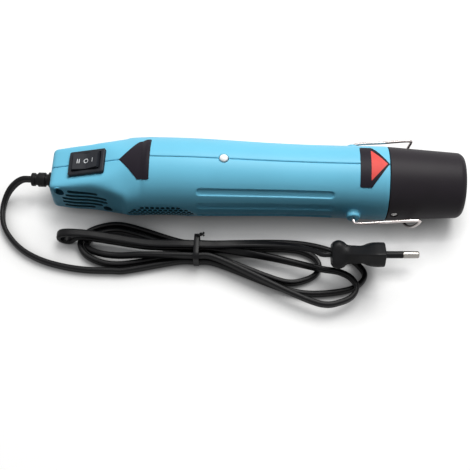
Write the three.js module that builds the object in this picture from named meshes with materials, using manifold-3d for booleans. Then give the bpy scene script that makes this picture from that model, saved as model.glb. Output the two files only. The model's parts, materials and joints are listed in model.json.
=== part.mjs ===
// Hand-held hot air tool with a wire bail, a three-position rocker and a tied flat cord.
// Millimetres, +Z up, nozzle towards +X, standing surface at z = 0.
import * as THREE from 'three';
import { mergeVertices } from 'three/addons/utils/BufferGeometryUtils.js';
import Module from 'manifold-3d';

const wasm = await Module();
wasm.setup();

// Fits
const GAP = 0.3; // between pieces that touch
const SEAM = 0.15; // from the seam plane to each housing half
const THROUGH = 1; // how far a cutter runs past what it cuts

// Housing barrel
const REAR_X = -120;
const HOUSING_FRONT = 75.7;
const BELLY_R = 23.2;
const BELLY_X = -60;
const WAIST_R = 21.1;
const WAIST_X = 34;
const FRONT_R = 21.5;
const BELLY_SAG = 0.9; // how far the round section hangs below the axis at the belly
const SAG_FROM = -74;
const SAG_TO = -30;
const WALL = 2;
const AXIS_Z = BELLY_R + BELLY_SAG;
const SECTION_SIDES = 28;
const SECTION_POWER = 14; // sharpness of the corners of the tail's section

// Tail with its flat switch panel
const TAIL_REAR_HALF = 14; // half width at the rear face
const TAIL_HALF_WIDTH = 15.5;
const TAIL_FULL_X = -104; // where that half width is reached
const TAIL_DEPTH = 17.4;
const TAIL_DROP = 0.04; // growth of the depth per millimetre forward
const SWELL_X = -100; // where the tail begins to curve out to the barrel
const SWELL = 0.0101;
const TAIL_ENDS = -87;
const BARREL_BEGINS = -64;
const CREASE = [13, 3]; // half width of the panel at its rear and where it runs out
const CREASE_X = [-94.4, -67.3];
const FACET = THREE.MathUtils.degToRad(60.6); // of the sloping faces beside the panel, from level
const PANEL_REAR_Z = 5.4;
const PANEL_TILT = THREE.MathUtils.degToRad(16.3);
const PANEL_ENDS = -70;
const PANEL_RUNS_OUT = -54.4;
const END_DOME = 0.2; // how far the middle of the rear face stands out
const TAIL_PLAIN = 9; // from the rear face to the first plain section
const REAR_ROUND = [[0, 1.8], [0.5, 0.8], [1.3, 0.25], [3, 0]]; // distance from the end, inset

// Spigot that carries the nozzle and the heater tube
const SPIGOT_R = 18.6;
const SPIGOT_BORE_R = 16.6;
const SPIGOT_LENGTH = 12.3;
const SPIGOT_ROOT = 6; // thickness of the ring behind the spigot

// Grip grooves, grille and vents
const GROOVE_FROM = -34;
const GROOVE_TO = 44.8;
const GROOVE_WIDTH = 4.6;
const GROOVE_DEPTH = 0.7;
const GROOVE_ANGLES = [-38, -13, 13, 38];
const GRILLE_X = -56;
const GRILLE_ANGLE = -22;
const GRILLE_HALF_LENGTH = 16.4;
const GRILLE_HALF_ANGLE = 25;
const GRILLE_PITCH = 5.4;
const GRILLE_HOLE_R = 1.4;
const VENT_HEIGHT = 2.3;
const VENT_TOP_Z = 3.9;
const VENT_PITCH = 3.9;
const VENT_FROM = [-109.3, -110.8, -113.3, -113.4, -112.9];
const VENT_TO = [-91.5, -86.4, -86.2, -89.6, -94.4];

// Nozzle guard
const NOZZLE_REACH = 44.3; // from the housing's front face
const NOZZLE_FRONT = HOUSING_FRONT + NOZZLE_REACH;
const NOZZLE_REAR_R = 21.4;
const NOZZLE_TIP_R = 18.9;
const NOZZLE_EDGE = 2.2; // front rounding
const NOZZLE_WALL = 2;
const NOZZLE_LIP = 2.5;
const MOUTH_R = 13.4;
const NOZZLE_SCREW_X = HOUSING_FRONT + 4.3;
const NOZZLE_SCREW_ANGLES = [180, 0];
const ROUND_SIDES = 28;

// Small screws
const SCREW_R = 1.5;
const SCREW_HEAD_R = 2.5;
const SCREW_HEAD = 1.2;
const SMALL_SCREW_R = 1.1;
const SMALL_HEAD_R = 2;
const HOUSING_SCREWS = [[-114.2, 2], [-86.9, -11]]; // x, z
const SCREW_BOSS_R = 3.5;
const SCREW_WELL_Y = 8.6; // depth of the screw head from the seam
const SCREW_END_Y = 7;

// Heater
const TUBE_R = SPIGOT_BORE_R - GAP;
const TUBE_WALL = 0.9;
const TUBE_REAR = HOUSING_FRONT - 15.7;
const MICA = 0.8;
const MICA_FROM = TUBE_REAR + 3;
const MICA_TO = NOZZLE_FRONT - 8;
const MICA_TAB = 3.5;
const COIL_R = 12.9;
const COIL_WIRE_R = 0.5;
const COIL_TURNS = 9;
const COIL_STEPS = 8; // straight steps in one turn
const COIL_SIDES = 5;
const COIL_FROM = MICA_FROM + 6;
const COIL_TO = MICA_TO - 6;
const MICA_R = COIL_R - COIL_WIRE_R - GAP;
const CUTOUT = [8, 3, 4.4];
const CUTOUT_X = MICA_FROM + 9;
const CUTOUT_Z = 5.4;

// Motor and fan
const MOTOR_R = 12;
const MOTOR_WALL = 1;
const MOTOR_REAR = -74;
const MOTOR_FRONT = -46;
const END_CAP = 3.4;
const SHAFT_R = 1.15;
const BUSH_R = 3;
const BUSH_LENGTH = 3.4;
const ARMATURE_R = 8;
const ARMATURE_LENGTH = 16;
const ARMATURE_SLOT = 1.6;
const SHAFT_END = 1; // past the bush at one end, inside the hub at the other
const MAGNET = 2;
const MAGNET_SPAN = 62; // half angle
const MOUNT_RIM = 3;
const MOUNT_HUB_R = 9.4;
const MOUNT_THICK = 2.2;
const MOUNT_SPOKE = 3.6;
const MOTOR_SCREW_Y = 7;
const FAN_FROM = -40.4;
const FAN_LENGTH = 9;
const FAN_R = 17.6;
const FAN_HUB_R = 5.6;
const FAN_NOSE = 2;
const FAN_BLADES = 7;
const BLADE_PITCHES = [50, 40, 32]; // degrees at the hub, half way out and at the tip
const BLADE_THICK = 1.1;
const BLADE_CHORD = 10;

// Electric parts
const BOARD_FROM = -26;
const BOARD_TO = 4;
const BOARD_HALF_WIDTH = 14.4;
const BOARD_Z = 12;
const BOARD_THICK = 1.6;
const BRIDGE = [9, 8, 4];
const BRIDGE_X = -6;
const CAPACITOR_R = 3.6;
const CAPACITOR_LENGTH = 11;
const CAPACITOR_X = -8;
const RESISTOR_R = 1.4;
const RESISTOR_LENGTH = 8;
const LAMP_X = -18.9;
const LAMP_R = 2.5;
const LAMP_PROUD = 1.3;
const WIRE_R = 0.75;
const WIRE_SIDES = 5;
const WIRE_LANE = { y: 18.6, z: 6.6 }; // between the fan's tips and the wall
const WIRE_LANE_X = [FAN_FROM - 9.6, FAN_FROM + 4.4, FAN_FROM + FAN_LENGTH + 0.4];
const WIRE_TO_LANE = [[-27, 16.6, 8.4], [-23, 13.4], [-20, 12.4]]; // from the board's end on
const NEUTRAL_WAY = [[-97, -8, -4.6], [-88, -11.4, 0], [-76, -15.4, 3.4], [-62, -18, 5.6]];
const MOTOR_WAY = [[-62, 17.4, 5], [-74, 15.4, 2.6], [-80, 12.6, 1], [-80.6, 9, 0.2]];
const HEATER_WAY = [[BOARD_TO + 6, 4, BOARD_Z - 0.6], [BOARD_TO + 26, 4, 9.4], [TUBE_REAR - 8, 3, 6.6]];

// Rocker switch, in the panel's own frame
const SWITCH_X = -97.8;
const SWITCH_LENGTH = 19;
const SWITCH_WIDTH = 13;
const SWITCH_DEPTH = 13;
const BEZEL_LENGTH = 22.2;
const BEZEL_WIDTH = 15.6;
const BEZEL_THICK = 1.9;
const ROCKER_R = 8.4;
const ROCKER_CORNER = THREE.MathUtils.degToRad(25); // where its arc meets the top
const ROCKER_DISH = 1.5; // how far the middle of the top lies below its ends
const ROCKER_HALF_WIDTH = 5.2;
const ROCKER_PIVOT = 0.6; // height of its pins over the panel
const ROCKER_PIN_R = 1.1;
const TERMINAL = [0.8, 4.8, 7.5];
const TERMINAL_PITCH = 6.5;

// Bail
const BAIL_R = 0.9;
const BAIL_X = HOUSING_FRONT - 19.2;
const BAIL_PLAY = 1.55; // between the bosses and the legs
const BAIL_SHIFT = 0.75; // how far it lies to one side
const BAIL_LIFT = 0.1; // of the arch over the standing surface
const BAIL_REACH = 36.3;
const BAIL_SKEW = 1.3; // of the reach: one leg more, the other less
const BAIL_RISE = 6.4; // height of the legs' ends over the pivot
const BAIL_LEAN = 6.5; // how far the arch leans back
const BAIL_BEND = 2.6;
const BAIL_TIP_BEND = 1.6;
const BOSS_R = 4;
const BOSS_Y = 24.2;
const BOSS_EDGE = 1;
const BOSS_FLOOR_Y = 19.9;
const BOSS_FLOOR = 1.5;
const BAIL_LEG_Y = BOSS_Y + BAIL_PLAY + BAIL_R;

// Stickers
const STICKER = 0.2;
const STICKER_GAP = 0.22;
const STICKER_TIP = 0.03; // share of the half angle that the blunt tip keeps
const REAR_STICKER = { tip: -78.8, shoulder: -67, end: -61.7, half: 35 };
const FRONT_STICKER = {
  tip: HOUSING_FRONT - 0.4, shoulder: HOUSING_FRONT - 10.3, end: HOUSING_FRONT - 16.9, half: 37.8,
};
const RED_TRIANGLE = {
  tip: HOUSING_FRONT - 1.5, shoulder: HOUSING_FRONT - 10.4, end: HOUSING_FRONT - 10.7, half: 26.6,
};

// Strain relief and clamp
const GLAND_Z = -8.7;
const GLAND_BORE_R = 2.8;
const GLAND_NECK_R = 3.6;
const GLAND_GROOVE_R = 3.4; // between the collars
const GLAND_FLANGE_R = 5;
const GLAND_COLLARS = [[-123.6, -120.3, 4.6], [-130, -125.4, 4.3], [-134, -131.6, 4]];
const GLAND_INNER = 1.6;
const CLAMP_X = -109.5;
const CLAMP = [5, 14, 2.2];
const CLAMP_SCREW_Y = 4.7;
const CLAMP_POST_R = 2.1;
const CLAMP_SCREW_LENGTH = 7.5;

// Flat cord
const CORD_THICK = 3;
const CORD_WIDE = 4.9;
const CORD_SIDES = 8;
const HANK_SIDES = 6;
const CORD_INNER_END = -104;
const LAYER_1 = CORD_WIDE / 2 + 0.15; // centre of cord standing on its edge
const LAYER_2 = LAYER_1 + CORD_WIDE + 0.45;
const FLAT_2 = CORD_WIDE + CORD_THICK / 2 + 0.6; // lying flat on the first layer
const FLAT_3 = FLAT_2 + CORD_THICK + 0.45;
const FLAT = 90; // degrees from standing on edge to lying flat
const TIE_X = -33.4;
const TIE_WIDTH = 3.2;
const TIE_THICK = 0.7;
const TIE_END = 8.5; // length of its twisted ends
const TIE_LIFT = 1.2; // room for the tie under the cord
const TIE_RUN = 8; // half the straight run through the tie
const CORD_SQUARE = 0.6; // power that squares the cord's section

// Plug
const PLUG_BACK = [44, -46.4, 21.6];
const PLUG_YAW = THREE.MathUtils.degToRad(2);
const PLUG_TIP_OVER = 26.5; // degrees that its wide side leans from upright
const PLUG_PIN_R = 2;
const PLUG_PIN_CORE_R = 1.3;
const PLUG_PIN_LENGTH = 19;
const PLUG_SLEEVE = 10;
const PLUG_PIN_PITCH = 19;
const PLUG_PIN_DEPTH = 8;
// distance from the back, half thickness, half width
const PLUG_SECTIONS = [[0, 5.8, 6.2], [1.2, 7.2, 7], [3.8, 8.2, 7.4], [6.6, 7.4, 8], [8.6, 5.8, 9.2],
  [12, 5.4, 11.4], [18, 5.4, 15], [21.4, 6.6, 16.6], [24, 7.2, 17.4], [27.4, 7.2, 17.4], [28.6, 6.9, 17],
  [29, 6.2, 16.6]];
const PLUG_POWER = 4;
const PLUG_SIDES = 20;

const COLOURS = {
  housing: ['#7ccbe6', 0.42, 0], black: ['#26242a', 0.55, 0], steel: ['#a8a4a2', 0.3, 1],
  brass: ['#b8975a', 0.35, 1], mica: ['#b9ad93', 0.7, 0], nichrome: ['#6f6a66', 0.4, 1],
  board: ['#8a6f3c', 0.6, 0], white: ['#eef2f4', 0.3, 0], copper: ['#9a5b34', 0.45, 1],
  cord: ['#313236', 0.6, 0], label: ['#1a141f', 0.5, 0], red: ['#d8433d', 0.5, 0],
  magnet: ['#4a4a4e', 0.7, 0], nylon: ['#e4e0d6', 0.5, 0], sleeve: ['#2b2b2e', 0.5, 0],
  blueWire: ['#2f5fae', 0.5, 0], redWire: ['#a3302b', 0.5, 0],
};

const radians = THREE.MathUtils.degToRad;
const mix = THREE.MathUtils.lerp;

// A smooth step from 0 at `from` to 1 at `to`.
function blend(x, from, to) {
  const t = THREE.MathUtils.clamp((x - from) / (to - from), 0, 1);
  return (1 - Math.cos(Math.PI * t)) / 2;
}

// Keeps positions only, merges shared corners and drops faces without area.
function closed(geometry) {
  const bare = geometry.clone();
  const extra = Object.keys(bare.attributes).filter((name) => name !== 'position');
  extra.forEach((name) => bare.deleteAttribute(name));
  const merged = mergeVertices(bare, 1e-4);
  const source = merged.index.array;
  const index = [];
  for (let i = 0; i < source.length; i += 3) {
    const [a, b, c] = [source[i], source[i + 1], source[i + 2]];
    if (a !== b && b !== c && c !== a) index.push(a, b, c);
  }
  merged.setIndex(index);
  return merged;
}

function solid(geometry) {
  const merged = closed(geometry);
  const vertProperties = new Float32Array(merged.attributes.position.array);
  const triVerts = new Uint32Array(merged.index.array);
  return new wasm.Manifold(new wasm.Mesh({ numProp: 3, vertProperties, triVerts }));
}

function geometryOf(body) {
  const result = body.getMesh();
  const geometry = new THREE.BufferGeometry();
  const positions = new Float32Array(result.vertProperties);
  geometry.setAttribute('position', new THREE.BufferAttribute(positions, 3));
  geometry.setIndex(Array.from(result.triVerts));
  return geometry;
}

function cut(base, ...cutters) {
  return cutters.reduce((body, cutter) => body.subtract(solid(cutter)), base);
}

function join(base, ...additions) {
  return additions.reduce((body, addition) => body.add(solid(addition)), base);
}

// A closed body through rings of equally many points.
// Skins rings of as many points. A band, whose points come back along its inside, is closed across.
// Other ends are closed from their middle, which may stand out along x.
function loft(rings, band = false, dome = 0) {
  const count = rings[0].length;
  const positions = rings.flat().flatMap((point) => point.toArray());
  const index = [];
  for (let ring = 0; ring + 1 < rings.length; ring += 1) {
    for (let i = 0; i < count; i += 1) {
      const [a, b] = [ring * count + i, ring * count + (i + 1) % count];
      index.push(a, b, a + count, b, b + count, a + count);
    }
  }
  const ends = [0, rings.length - 1];
  if (band) ends.forEach((ring) => index.push(...bandEnd(ring * count, count, ring === 0)));
  else ends.forEach((ring) => {
    const centre = new THREE.Vector3();
    rings[ring].forEach((point) => centre.addScaledVector(point, 1 / count));
    centre.x += ring === 0 ? -dome : dome;
    const hub = positions.length / 3;
    positions.push(...centre.toArray());
    for (let i = 0; i < count; i += 1) {
      const [a, b] = [ring * count + i, ring * count + (i + 1) % count];
      index.push(...(ring === 0 ? [b, a, hub] : [a, b, hub]));
    }
  });
  return outward(positions, index);
}

// Faces between the outer and the inner points of a band's end ring.
function bandEnd(start, count, flip) {
  return Array.from({ length: count / 2 - 1 }, (_, i) => {
    const [a, b, c, d] = [start + i, start + i + 1, start + count - 2 - i, start + count - 1 - i];
    return flip ? [b, a, c, c, a, d] : [a, b, c, a, c, d];
  }).flat();
}

// Turns all faces if the enclosed volume comes out negative.
function outward(positions, index) {
  const corner = (i) => new THREE.Vector3().fromArray(positions, 3 * i);
  let volume = 0;
  for (let i = 0; i < index.length; i += 3) {
    volume += corner(index[i]).dot(corner(index[i + 1]).cross(corner(index[i + 2])));
  }
  if (volume < 0) index.reverse();
  const geometry = new THREE.BufferGeometry();
  geometry.setAttribute('position', new THREE.Float32BufferAttribute(positions, 3));
  geometry.setIndex(index);
  return geometry;
}

// A body of revolution about a line along X, from a list of [x, radius].
function turned(profile, y = 0, z = 0, sides = ROUND_SIDES) {
  const points = profile.map(([x, radius]) => new THREE.Vector2(radius, x));
  const geometry = new THREE.LatheGeometry(points, sides);
  geometry.rotateZ(-Math.PI / 2);
  geometry.translate(0, y, z);
  const merged = closed(geometry);
  return outward(Array.from(merged.attributes.position.array), Array.from(merged.index.array));
}

function rod(radius, from, to, y = 0, z = 0, sides = 16) {
  return turned([[from, 0], [from, radius], [to, radius], [to, 0]], y, z, sides);
}

function ring(outer, inner, from, to, sides = ROUND_SIDES) {
  return turned([[from, inner], [from, outer], [to, outer], [to, inner], [from, inner]], 0, 0, sides);
}

function rodAlongY(radius, from, to, x, z, sides = 16) {
  return rod(radius, from, to, 0, 0, sides).rotateZ(Math.PI / 2).translate(x, 0, z);
}

function rodAlongZ(radius, from, to, x, y, sides = 16) {
  return rod(radius, from, to, 0, 0, sides).rotateY(-Math.PI / 2).translate(x, y, 0);
}

function block(length, width, height, x, y, z) {
  return new THREE.BoxGeometry(length, width, height).translate(x, y, z);
}

// A flat plate from an outline of [x, z], `thick` wide about y.
function plate(outline, thick, y = 0) {
  const shape = new THREE.Shape(outline.map(([x, z]) => new THREE.Vector2(x, z)));
  const geometry = new THREE.ExtrudeGeometry(shape, { depth: thick, bevelEnabled: false });
  return geometry.rotateX(Math.PI / 2).translate(0, y + thick / 2, 0);
}

function smoothPath(points) {
  const places = points.map(([x, y, z]) => new THREE.Vector3(x, y, z));
  return new THREE.CatmullRomCurve3(places, false, 'centripetal');
}

function tube(points, radius, steps, sides = WIRE_SIDES) {
  const extrudePath = smoothPath(points);
  const outline = Array.from({ length: sides }, (_, i) => {
    const angle = 2 * Math.PI * i / sides;
    return new THREE.Vector2(radius * Math.cos(angle), radius * Math.sin(angle));
  });
  return new THREE.ExtrudeGeometry(new THREE.Shape(outline), { steps, bevelEnabled: false, extrudePath });
}

// Housing surface

function barrelRadius(x) {
  if (x < WAIST_X) return mix(BELLY_R, WAIST_R, blend(x, BELLY_X, WAIST_X));
  return mix(WAIST_R, FRONT_R, blend(x, WAIST_X, HOUSING_FRONT));
}

function sag(x) {
  return BELLY_SAG * (1 - blend(x, SAG_FROM, SAG_TO));
}

function panelHeight(x) {
  return PANEL_REAR_Z + (x - REAR_X) * Math.tan(PANEL_TILT);
}

// Distance of the surface from the section's centre: a round barrel that the tail's flat sides cut.
function sectionRadius(x, angle, inset) {
  const across = Math.abs(Math.cos(angle));
  const up = Math.sin(angle);
  const tail = 1 - blend(x, TAIL_ENDS, BARREL_BEGINS);
  const panel = 1 - blend(x, PANEL_ENDS, PANEL_RUNS_OUT);
  const swell = SWELL * Math.max(x - SWELL_X, 0) ** 2;
  const width = mix(TAIL_REAR_HALF, TAIL_HALF_WIDTH, blend(x, REAR_X, TAIL_FULL_X)) + swell;
  const top = panelHeight(x) + sag(x);
  const facet = mix(...CREASE, blend(x, ...CREASE_X)) * Math.cos(FACET) + top * Math.sin(FACET);
  const limits = [
    1 / (barrelRadius(x) - inset),
    tail * across / (width - inset),
    panel * Math.max(up, 0) / (top - inset),
    panel * Math.max(across * Math.cos(FACET) + up * Math.sin(FACET), 0) / (facet - inset),
    tail * Math.max(-up, 0) / (TAIL_DEPTH + TAIL_DROP * (x - REAR_X) + swell - sag(x) - inset),
  ];
  return limits.reduce((sum, limit) => sum + limit ** SECTION_POWER, 0) ** (-1 / SECTION_POWER);
}

function surfacePoint(x, angle, inset) {
  const radius = sectionRadius(x, angle, inset);
  return new THREE.Vector3(x, radius * Math.cos(angle), radius * Math.sin(angle) - sag(x));
}

function surfaceRing(x, inset) {
  return Array.from({ length: SECTION_SIDES }, (_, i) => (
    surfacePoint(x, 2 * Math.PI * i / SECTION_SIDES - Math.PI / 2, inset)));
}

function between(from, to, count) {
  return Array.from({ length: count }, (_, i) => mix(from, to, i / (count - 1)));
}

// A point on the skin as it is lofted, straight from one station to the next.
function skinPoint(x, angle, inset) {
  const stations = housingStations().map(([at]) => at);
  const next = Math.min(Math.max(stations.findIndex((at) => at > x), 1), stations.length - 1);
  const [from, to] = [stations[next - 1], stations[next]];
  return surfacePoint(from, angle, inset).lerp(surfacePoint(to, angle, inset), (x - from) / (to - from));
}

// A curved patch of the skin between two depths, through the angles that each station gives.
function skinPatch(ends, anglesAt, low, high) {
  const [from, to] = [Math.min(...ends), Math.max(...ends)];
  const inside = housingStations().map(([x]) => x).filter((x) => x > from && x < to);
  const stations = [...new Set([...ends, ...inside])].sort((a, b) => a - b);
  const rings = stations.map((x) => {
    const outer = anglesAt(x).map((angle) => skinPoint(x, angle, high));
    const inner = anglesAt(x).map((angle) => skinPoint(x, angle, low)).reverse();
    return [...outer, ...inner];
  });
  return loft(rings, true);
}

function groove(angle) {
  const end = GROOVE_WIDTH / 2;
  const round = [0.05, 0.3, 1].map((share) => share * end);
  const ends = [...round.map((d) => GROOVE_FROM + d), ...round.map((d) => GROOVE_TO - d)];
  const halfAngle = (x) => {
    const past = Math.max(0, end - Math.min(x - GROOVE_FROM, GROOVE_TO - x));
    return Math.sqrt(end * end - past * past) / barrelRadius(x);
  };
  return skinPatch(ends, (x) => [angle - halfAngle(x), angle + halfAngle(x)], GROOVE_DEPTH, -THROUGH);
}

function bothSides(angle) {
  return [radians(angle), Math.PI - radians(angle)];
}

function grilleHoles(centre) {
  const side = Math.sign(Math.cos(centre));
  const rows = Math.floor(GRILLE_HALF_LENGTH / GRILLE_PITCH);
  const step = GRILLE_PITCH / BELLY_R;
  const columns = Math.floor(radians(GRILLE_HALF_ANGLE) / step);
  const holes = [];
  for (let i = -rows; i <= rows; i += 1) {
    for (let j = -columns; j <= columns; j += 1) {
      if (Math.hypot(i / (rows + 0.5), j / (columns + 0.5)) < 1) {
        const hole = rod(GRILLE_HOLE_R, BELLY_R - WALL - 2 * THROUGH, BELLY_R + 2 * THROUGH, 0, 0, 4);
        holes.push(hole.rotateZ(Math.PI / 2).rotateX(centre + side * j * step)
          .translate(GRILLE_X + i * GRILLE_PITCH, 0, -sag(GRILLE_X)));
      }
    }
  }
  return holes;
}

function vents(side) {
  return VENT_FROM.map((from, i) => {
    const length = VENT_TO[i] - from;
    const reach = BELLY_R - SCREW_WELL_Y;
    const middle = side * (SCREW_WELL_Y + reach / 2 + THROUGH);
    return block(length, reach, VENT_HEIGHT, from + length / 2, middle, VENT_TOP_Z - i * VENT_PITCH);
  });
}

// Half width of the housing at one station and height.
function halfWidth(x, z, inset) {
  let [low, high] = [-Math.PI / 2, Math.PI / 2];
  for (let i = 0; i < 30; i += 1) {
    const middle = (low + high) / 2;
    if (sectionRadius(x, middle, inset) * Math.sin(middle) - sag(x) < z) low = middle;
    else high = middle;
  }
  return sectionRadius(x, low, inset) * Math.cos(low);
}

function screwBosses(body) {
  return HOUSING_SCREWS.reduce((shell, [x, z]) => {
    const end = halfWidth(x, z, WALL / 2);
    const boss = rodAlongY(SCREW_BOSS_R, -end, end, x, z, 12);
    const well = rodAlongY(SCREW_HEAD_R + GAP, -BELLY_R - THROUGH, -SCREW_WELL_Y, x, z, 12);
    const hole = rodAlongY(SCREW_R + GAP, -SCREW_WELL_Y - THROUGH, SCREW_END_Y + GAP, x, z, 8);
    return cut(join(shell, boss), well, hole);
  }, body);
}

function housingStations() {
  const tail = between(REAR_X + TAIL_PLAIN, TAIL_ENDS, 4);
  const shoulder = between(TAIL_ENDS, BARREL_BEGINS, 6).slice(1);
  const barrel = between(BELLY_X, HOUSING_FRONT, 8);
  const rear = REAR_ROUND.map(([d, inset]) => [REAR_X + d, inset]);
  return [...rear, ...[...tail, ...shoulder, ...barrel].map((x) => [x, 0])];
}

function cavityRings() {
  const tail = between(REAR_X + WALL, TAIL_ENDS, 4);
  const shoulder = between(TAIL_ENDS, BARREL_BEGINS, 6).slice(1);
  const barrel = between(BELLY_X, HOUSING_FRONT - SPIGOT_ROOT, 6);
  return [...tail, ...shoulder, ...barrel].map((x) => surfaceRing(x, WALL));
}

function bailBoss(side) {
  const foot = BOSS_FLOOR_Y - BOSS_FLOOR;
  const profile = [[foot, 0], [foot, BOSS_R], [BOSS_Y - BOSS_EDGE, BOSS_R], [BOSS_Y, BOSS_R - BOSS_EDGE],
    [BOSS_Y, 0]];
  return turned(profile, 0, 0, 16).rotateZ(side * Math.PI / 2).translate(BAIL_X, 0, 0);
}

function bailHole(side) {
  const hole = rod(BAIL_R + GAP, BOSS_FLOOR_Y, BOSS_Y + THROUGH, 0, 0, 12);
  return hole.rotateZ(side * Math.PI / 2).translate(BAIL_X, 0, 0);
}

function nozzleScrewHole(angle) {
  const hole = rod(SCREW_R + GAP, SPIGOT_BORE_R - THROUGH, NOZZLE_REAR_R + THROUGH, 0, 0, 8);
  return hole.rotateZ(Math.PI / 2).rotateX(radians(angle)).translate(NOZZLE_SCREW_X, 0, 0);
}

function clampPost(side) {
  const foot = -(TAIL_DEPTH + TAIL_DROP * (CLAMP_X - REAR_X)) + WALL / 2;
  return rodAlongZ(CLAMP_POST_R, foot, clampBottom() - GAP, CLAMP_X, side * CLAMP_SCREW_Y, 10);
}

function clampPostHole(side) {
  const end = clampBottom() - CLAMP_SCREW_LENGTH - GAP;
  return rodAlongZ(SMALL_SCREW_R + GAP, end, clampBottom() + THROUGH, CLAMP_X, side * CLAMP_SCREW_Y, 8);
}

function clampBottom() {
  return GLAND_Z + CORD_WIDE / 2 + GAP;
}

function panelFrame() {
  const frame = new THREE.Group();
  frame.position.set(SWITCH_X, 0, panelHeight(SWITCH_X));
  frame.rotation.y = -PANEL_TILT;
  frame.updateMatrix();
  return frame;
}

function wholeHousing() {
  const stations = housingStations();
  const skin = solid(loft(stations.map(([x, inset]) => surfaceRing(x, inset)), false, END_DOME));
  const front = HOUSING_FRONT + SPIGOT_LENGTH;
  let body = join(skin, rod(SPIGOT_R, HOUSING_FRONT - SPIGOT_ROOT, front, 0, 0, ROUND_SIDES),
    bailBoss(-1), bailBoss(1));
  const bore = rod(SPIGOT_BORE_R, HOUSING_FRONT - SPIGOT_ROOT - THROUGH, front + THROUGH, 0, 0, ROUND_SIDES);
  body = cut(body, loft(cavityRings(), false, END_DOME), bore);
  body = join(body, bailBoss(-1), bailBoss(1), clampPost(-1), clampPost(1));
  body = screwBosses(body);
  const panelHole = block(SWITCH_LENGTH + 2 * GAP, SWITCH_WIDTH + 2 * GAP, 4 * WALL, 0, 0, 0);
  panelHole.applyMatrix4(panelFrame().matrix);
  const grooves = GROOVE_ANGLES.flatMap(bothSides).map(groove);
  const grilles = bothSides(GRILLE_ANGLE).flatMap(grilleHoles);
  const lampHole = rodAlongZ(LAMP_R + GAP, BOARD_Z, BELLY_R + THROUGH, LAMP_X, 0, 12);
  const glandHole = rod(GLAND_NECK_R + GAP, REAR_X - THROUGH, REAR_X + 3 * WALL, 0, GLAND_Z);
  const screwHoles = NOZZLE_SCREW_ANGLES.map(nozzleScrewHole);
  const pairs = [-1, 1].flatMap((side) => [...vents(side), bailHole(side), clampPostHole(side)]);
  return cut(body, panelHole, ...grooves, ...grilles, lampHole, glandHole, ...pairs, ...screwHoles);
}

function housingHalf(whole, side) {
  const length = NOZZLE_FRONT - REAR_X;
  const half = block(2 * length, 4 * BELLY_R, 4 * BELLY_R, 0, side * (2 * BELLY_R + SEAM), 0);
  return geometryOf(whole.intersect(solid(half)));
}

// Nozzle and heater

function nozzleGuard() {
  const rear = HOUSING_FRONT + GAP;
  const shoulder = HOUSING_FRONT + SPIGOT_LENGTH + GAP;
  const sleeve = SPIGOT_R + GAP;
  const slope = (NOZZLE_TIP_R - NOZZLE_REAR_R) / (NOZZLE_FRONT - NOZZLE_EDGE - rear);
  const outer = (x) => NOZZLE_REAR_R + slope * (x - rear);
  const edge = [0, 30, 60, 90].map((degrees) => [
    NOZZLE_FRONT - NOZZLE_EDGE * (1 - Math.sin(radians(degrees))),
    NOZZLE_TIP_R - NOZZLE_EDGE * (1 - Math.cos(radians(degrees)))]);
  const lip = NOZZLE_FRONT - NOZZLE_LIP;
  const profile = [[rear, NOZZLE_REAR_R], ...edge, [NOZZLE_FRONT, MOUTH_R], [lip, MOUTH_R],
    [lip, TUBE_R + GAP], [shoulder + NOZZLE_WALL, outer(shoulder) - NOZZLE_WALL], [shoulder, sleeve],
    [rear, sleeve], [rear, NOZZLE_REAR_R]];
  const seat = outer(NOZZLE_SCREW_X) - SCREW_HEAD - GAP;
  const wells = NOZZLE_SCREW_ANGLES.map((angle) => {
    const well = rod(SCREW_HEAD_R + GAP, seat, NOZZLE_REAR_R + THROUGH, 0, 0, 12);
    return well.rotateZ(Math.PI / 2).rotateX(radians(angle)).translate(NOZZLE_SCREW_X, 0, 0);
  });
  return geometryOf(cut(solid(turned(profile)), ...wells, ...NOZZLE_SCREW_ANGLES.map(nozzleScrewHole)));
}

function nozzleScrew(angle) {
  const slope = (NOZZLE_TIP_R - NOZZLE_REAR_R) / (NOZZLE_FRONT - NOZZLE_EDGE - HOUSING_FRONT - GAP);
  const seat = NOZZLE_REAR_R + slope * (NOZZLE_SCREW_X - HOUSING_FRONT - GAP) - SCREW_HEAD;
  const profile = [[SPIGOT_BORE_R, 0], [SPIGOT_BORE_R, SCREW_R], [seat, SCREW_R], [seat, SCREW_HEAD_R],
    [seat + SCREW_HEAD, SCREW_HEAD_R], [seat + SCREW_HEAD, 0]];
  const screw = turned(profile, 0, 0, 10);
  return screw.rotateZ(Math.PI / 2).rotateX(radians(angle)).translate(NOZZLE_SCREW_X, 0, 0);
}

function micaPlate(slotFrom, slotTo) {
  const tip = TUBE_R - TUBE_WALL - GAP;
  const slot = MICA / 2 + GAP;
  const [a, b] = [MICA_FROM + MICA_TAB, MICA_TO - MICA_TAB];
  const outline = [[MICA_FROM, -tip], [a, -tip], [a, -MICA_R], [b, -MICA_R], [b, -tip], [MICA_TO, -tip],
    [MICA_TO, tip], [b, tip], [b, MICA_R], [a, MICA_R], [a, tip], [MICA_FROM, tip]];
  const opening = block(slotTo - slotFrom, 2 * MICA, 2 * slot, (slotFrom + slotTo) / 2, 0, 0);
  return geometryOf(cut(solid(plate(outline, MICA)), opening));
}

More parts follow.
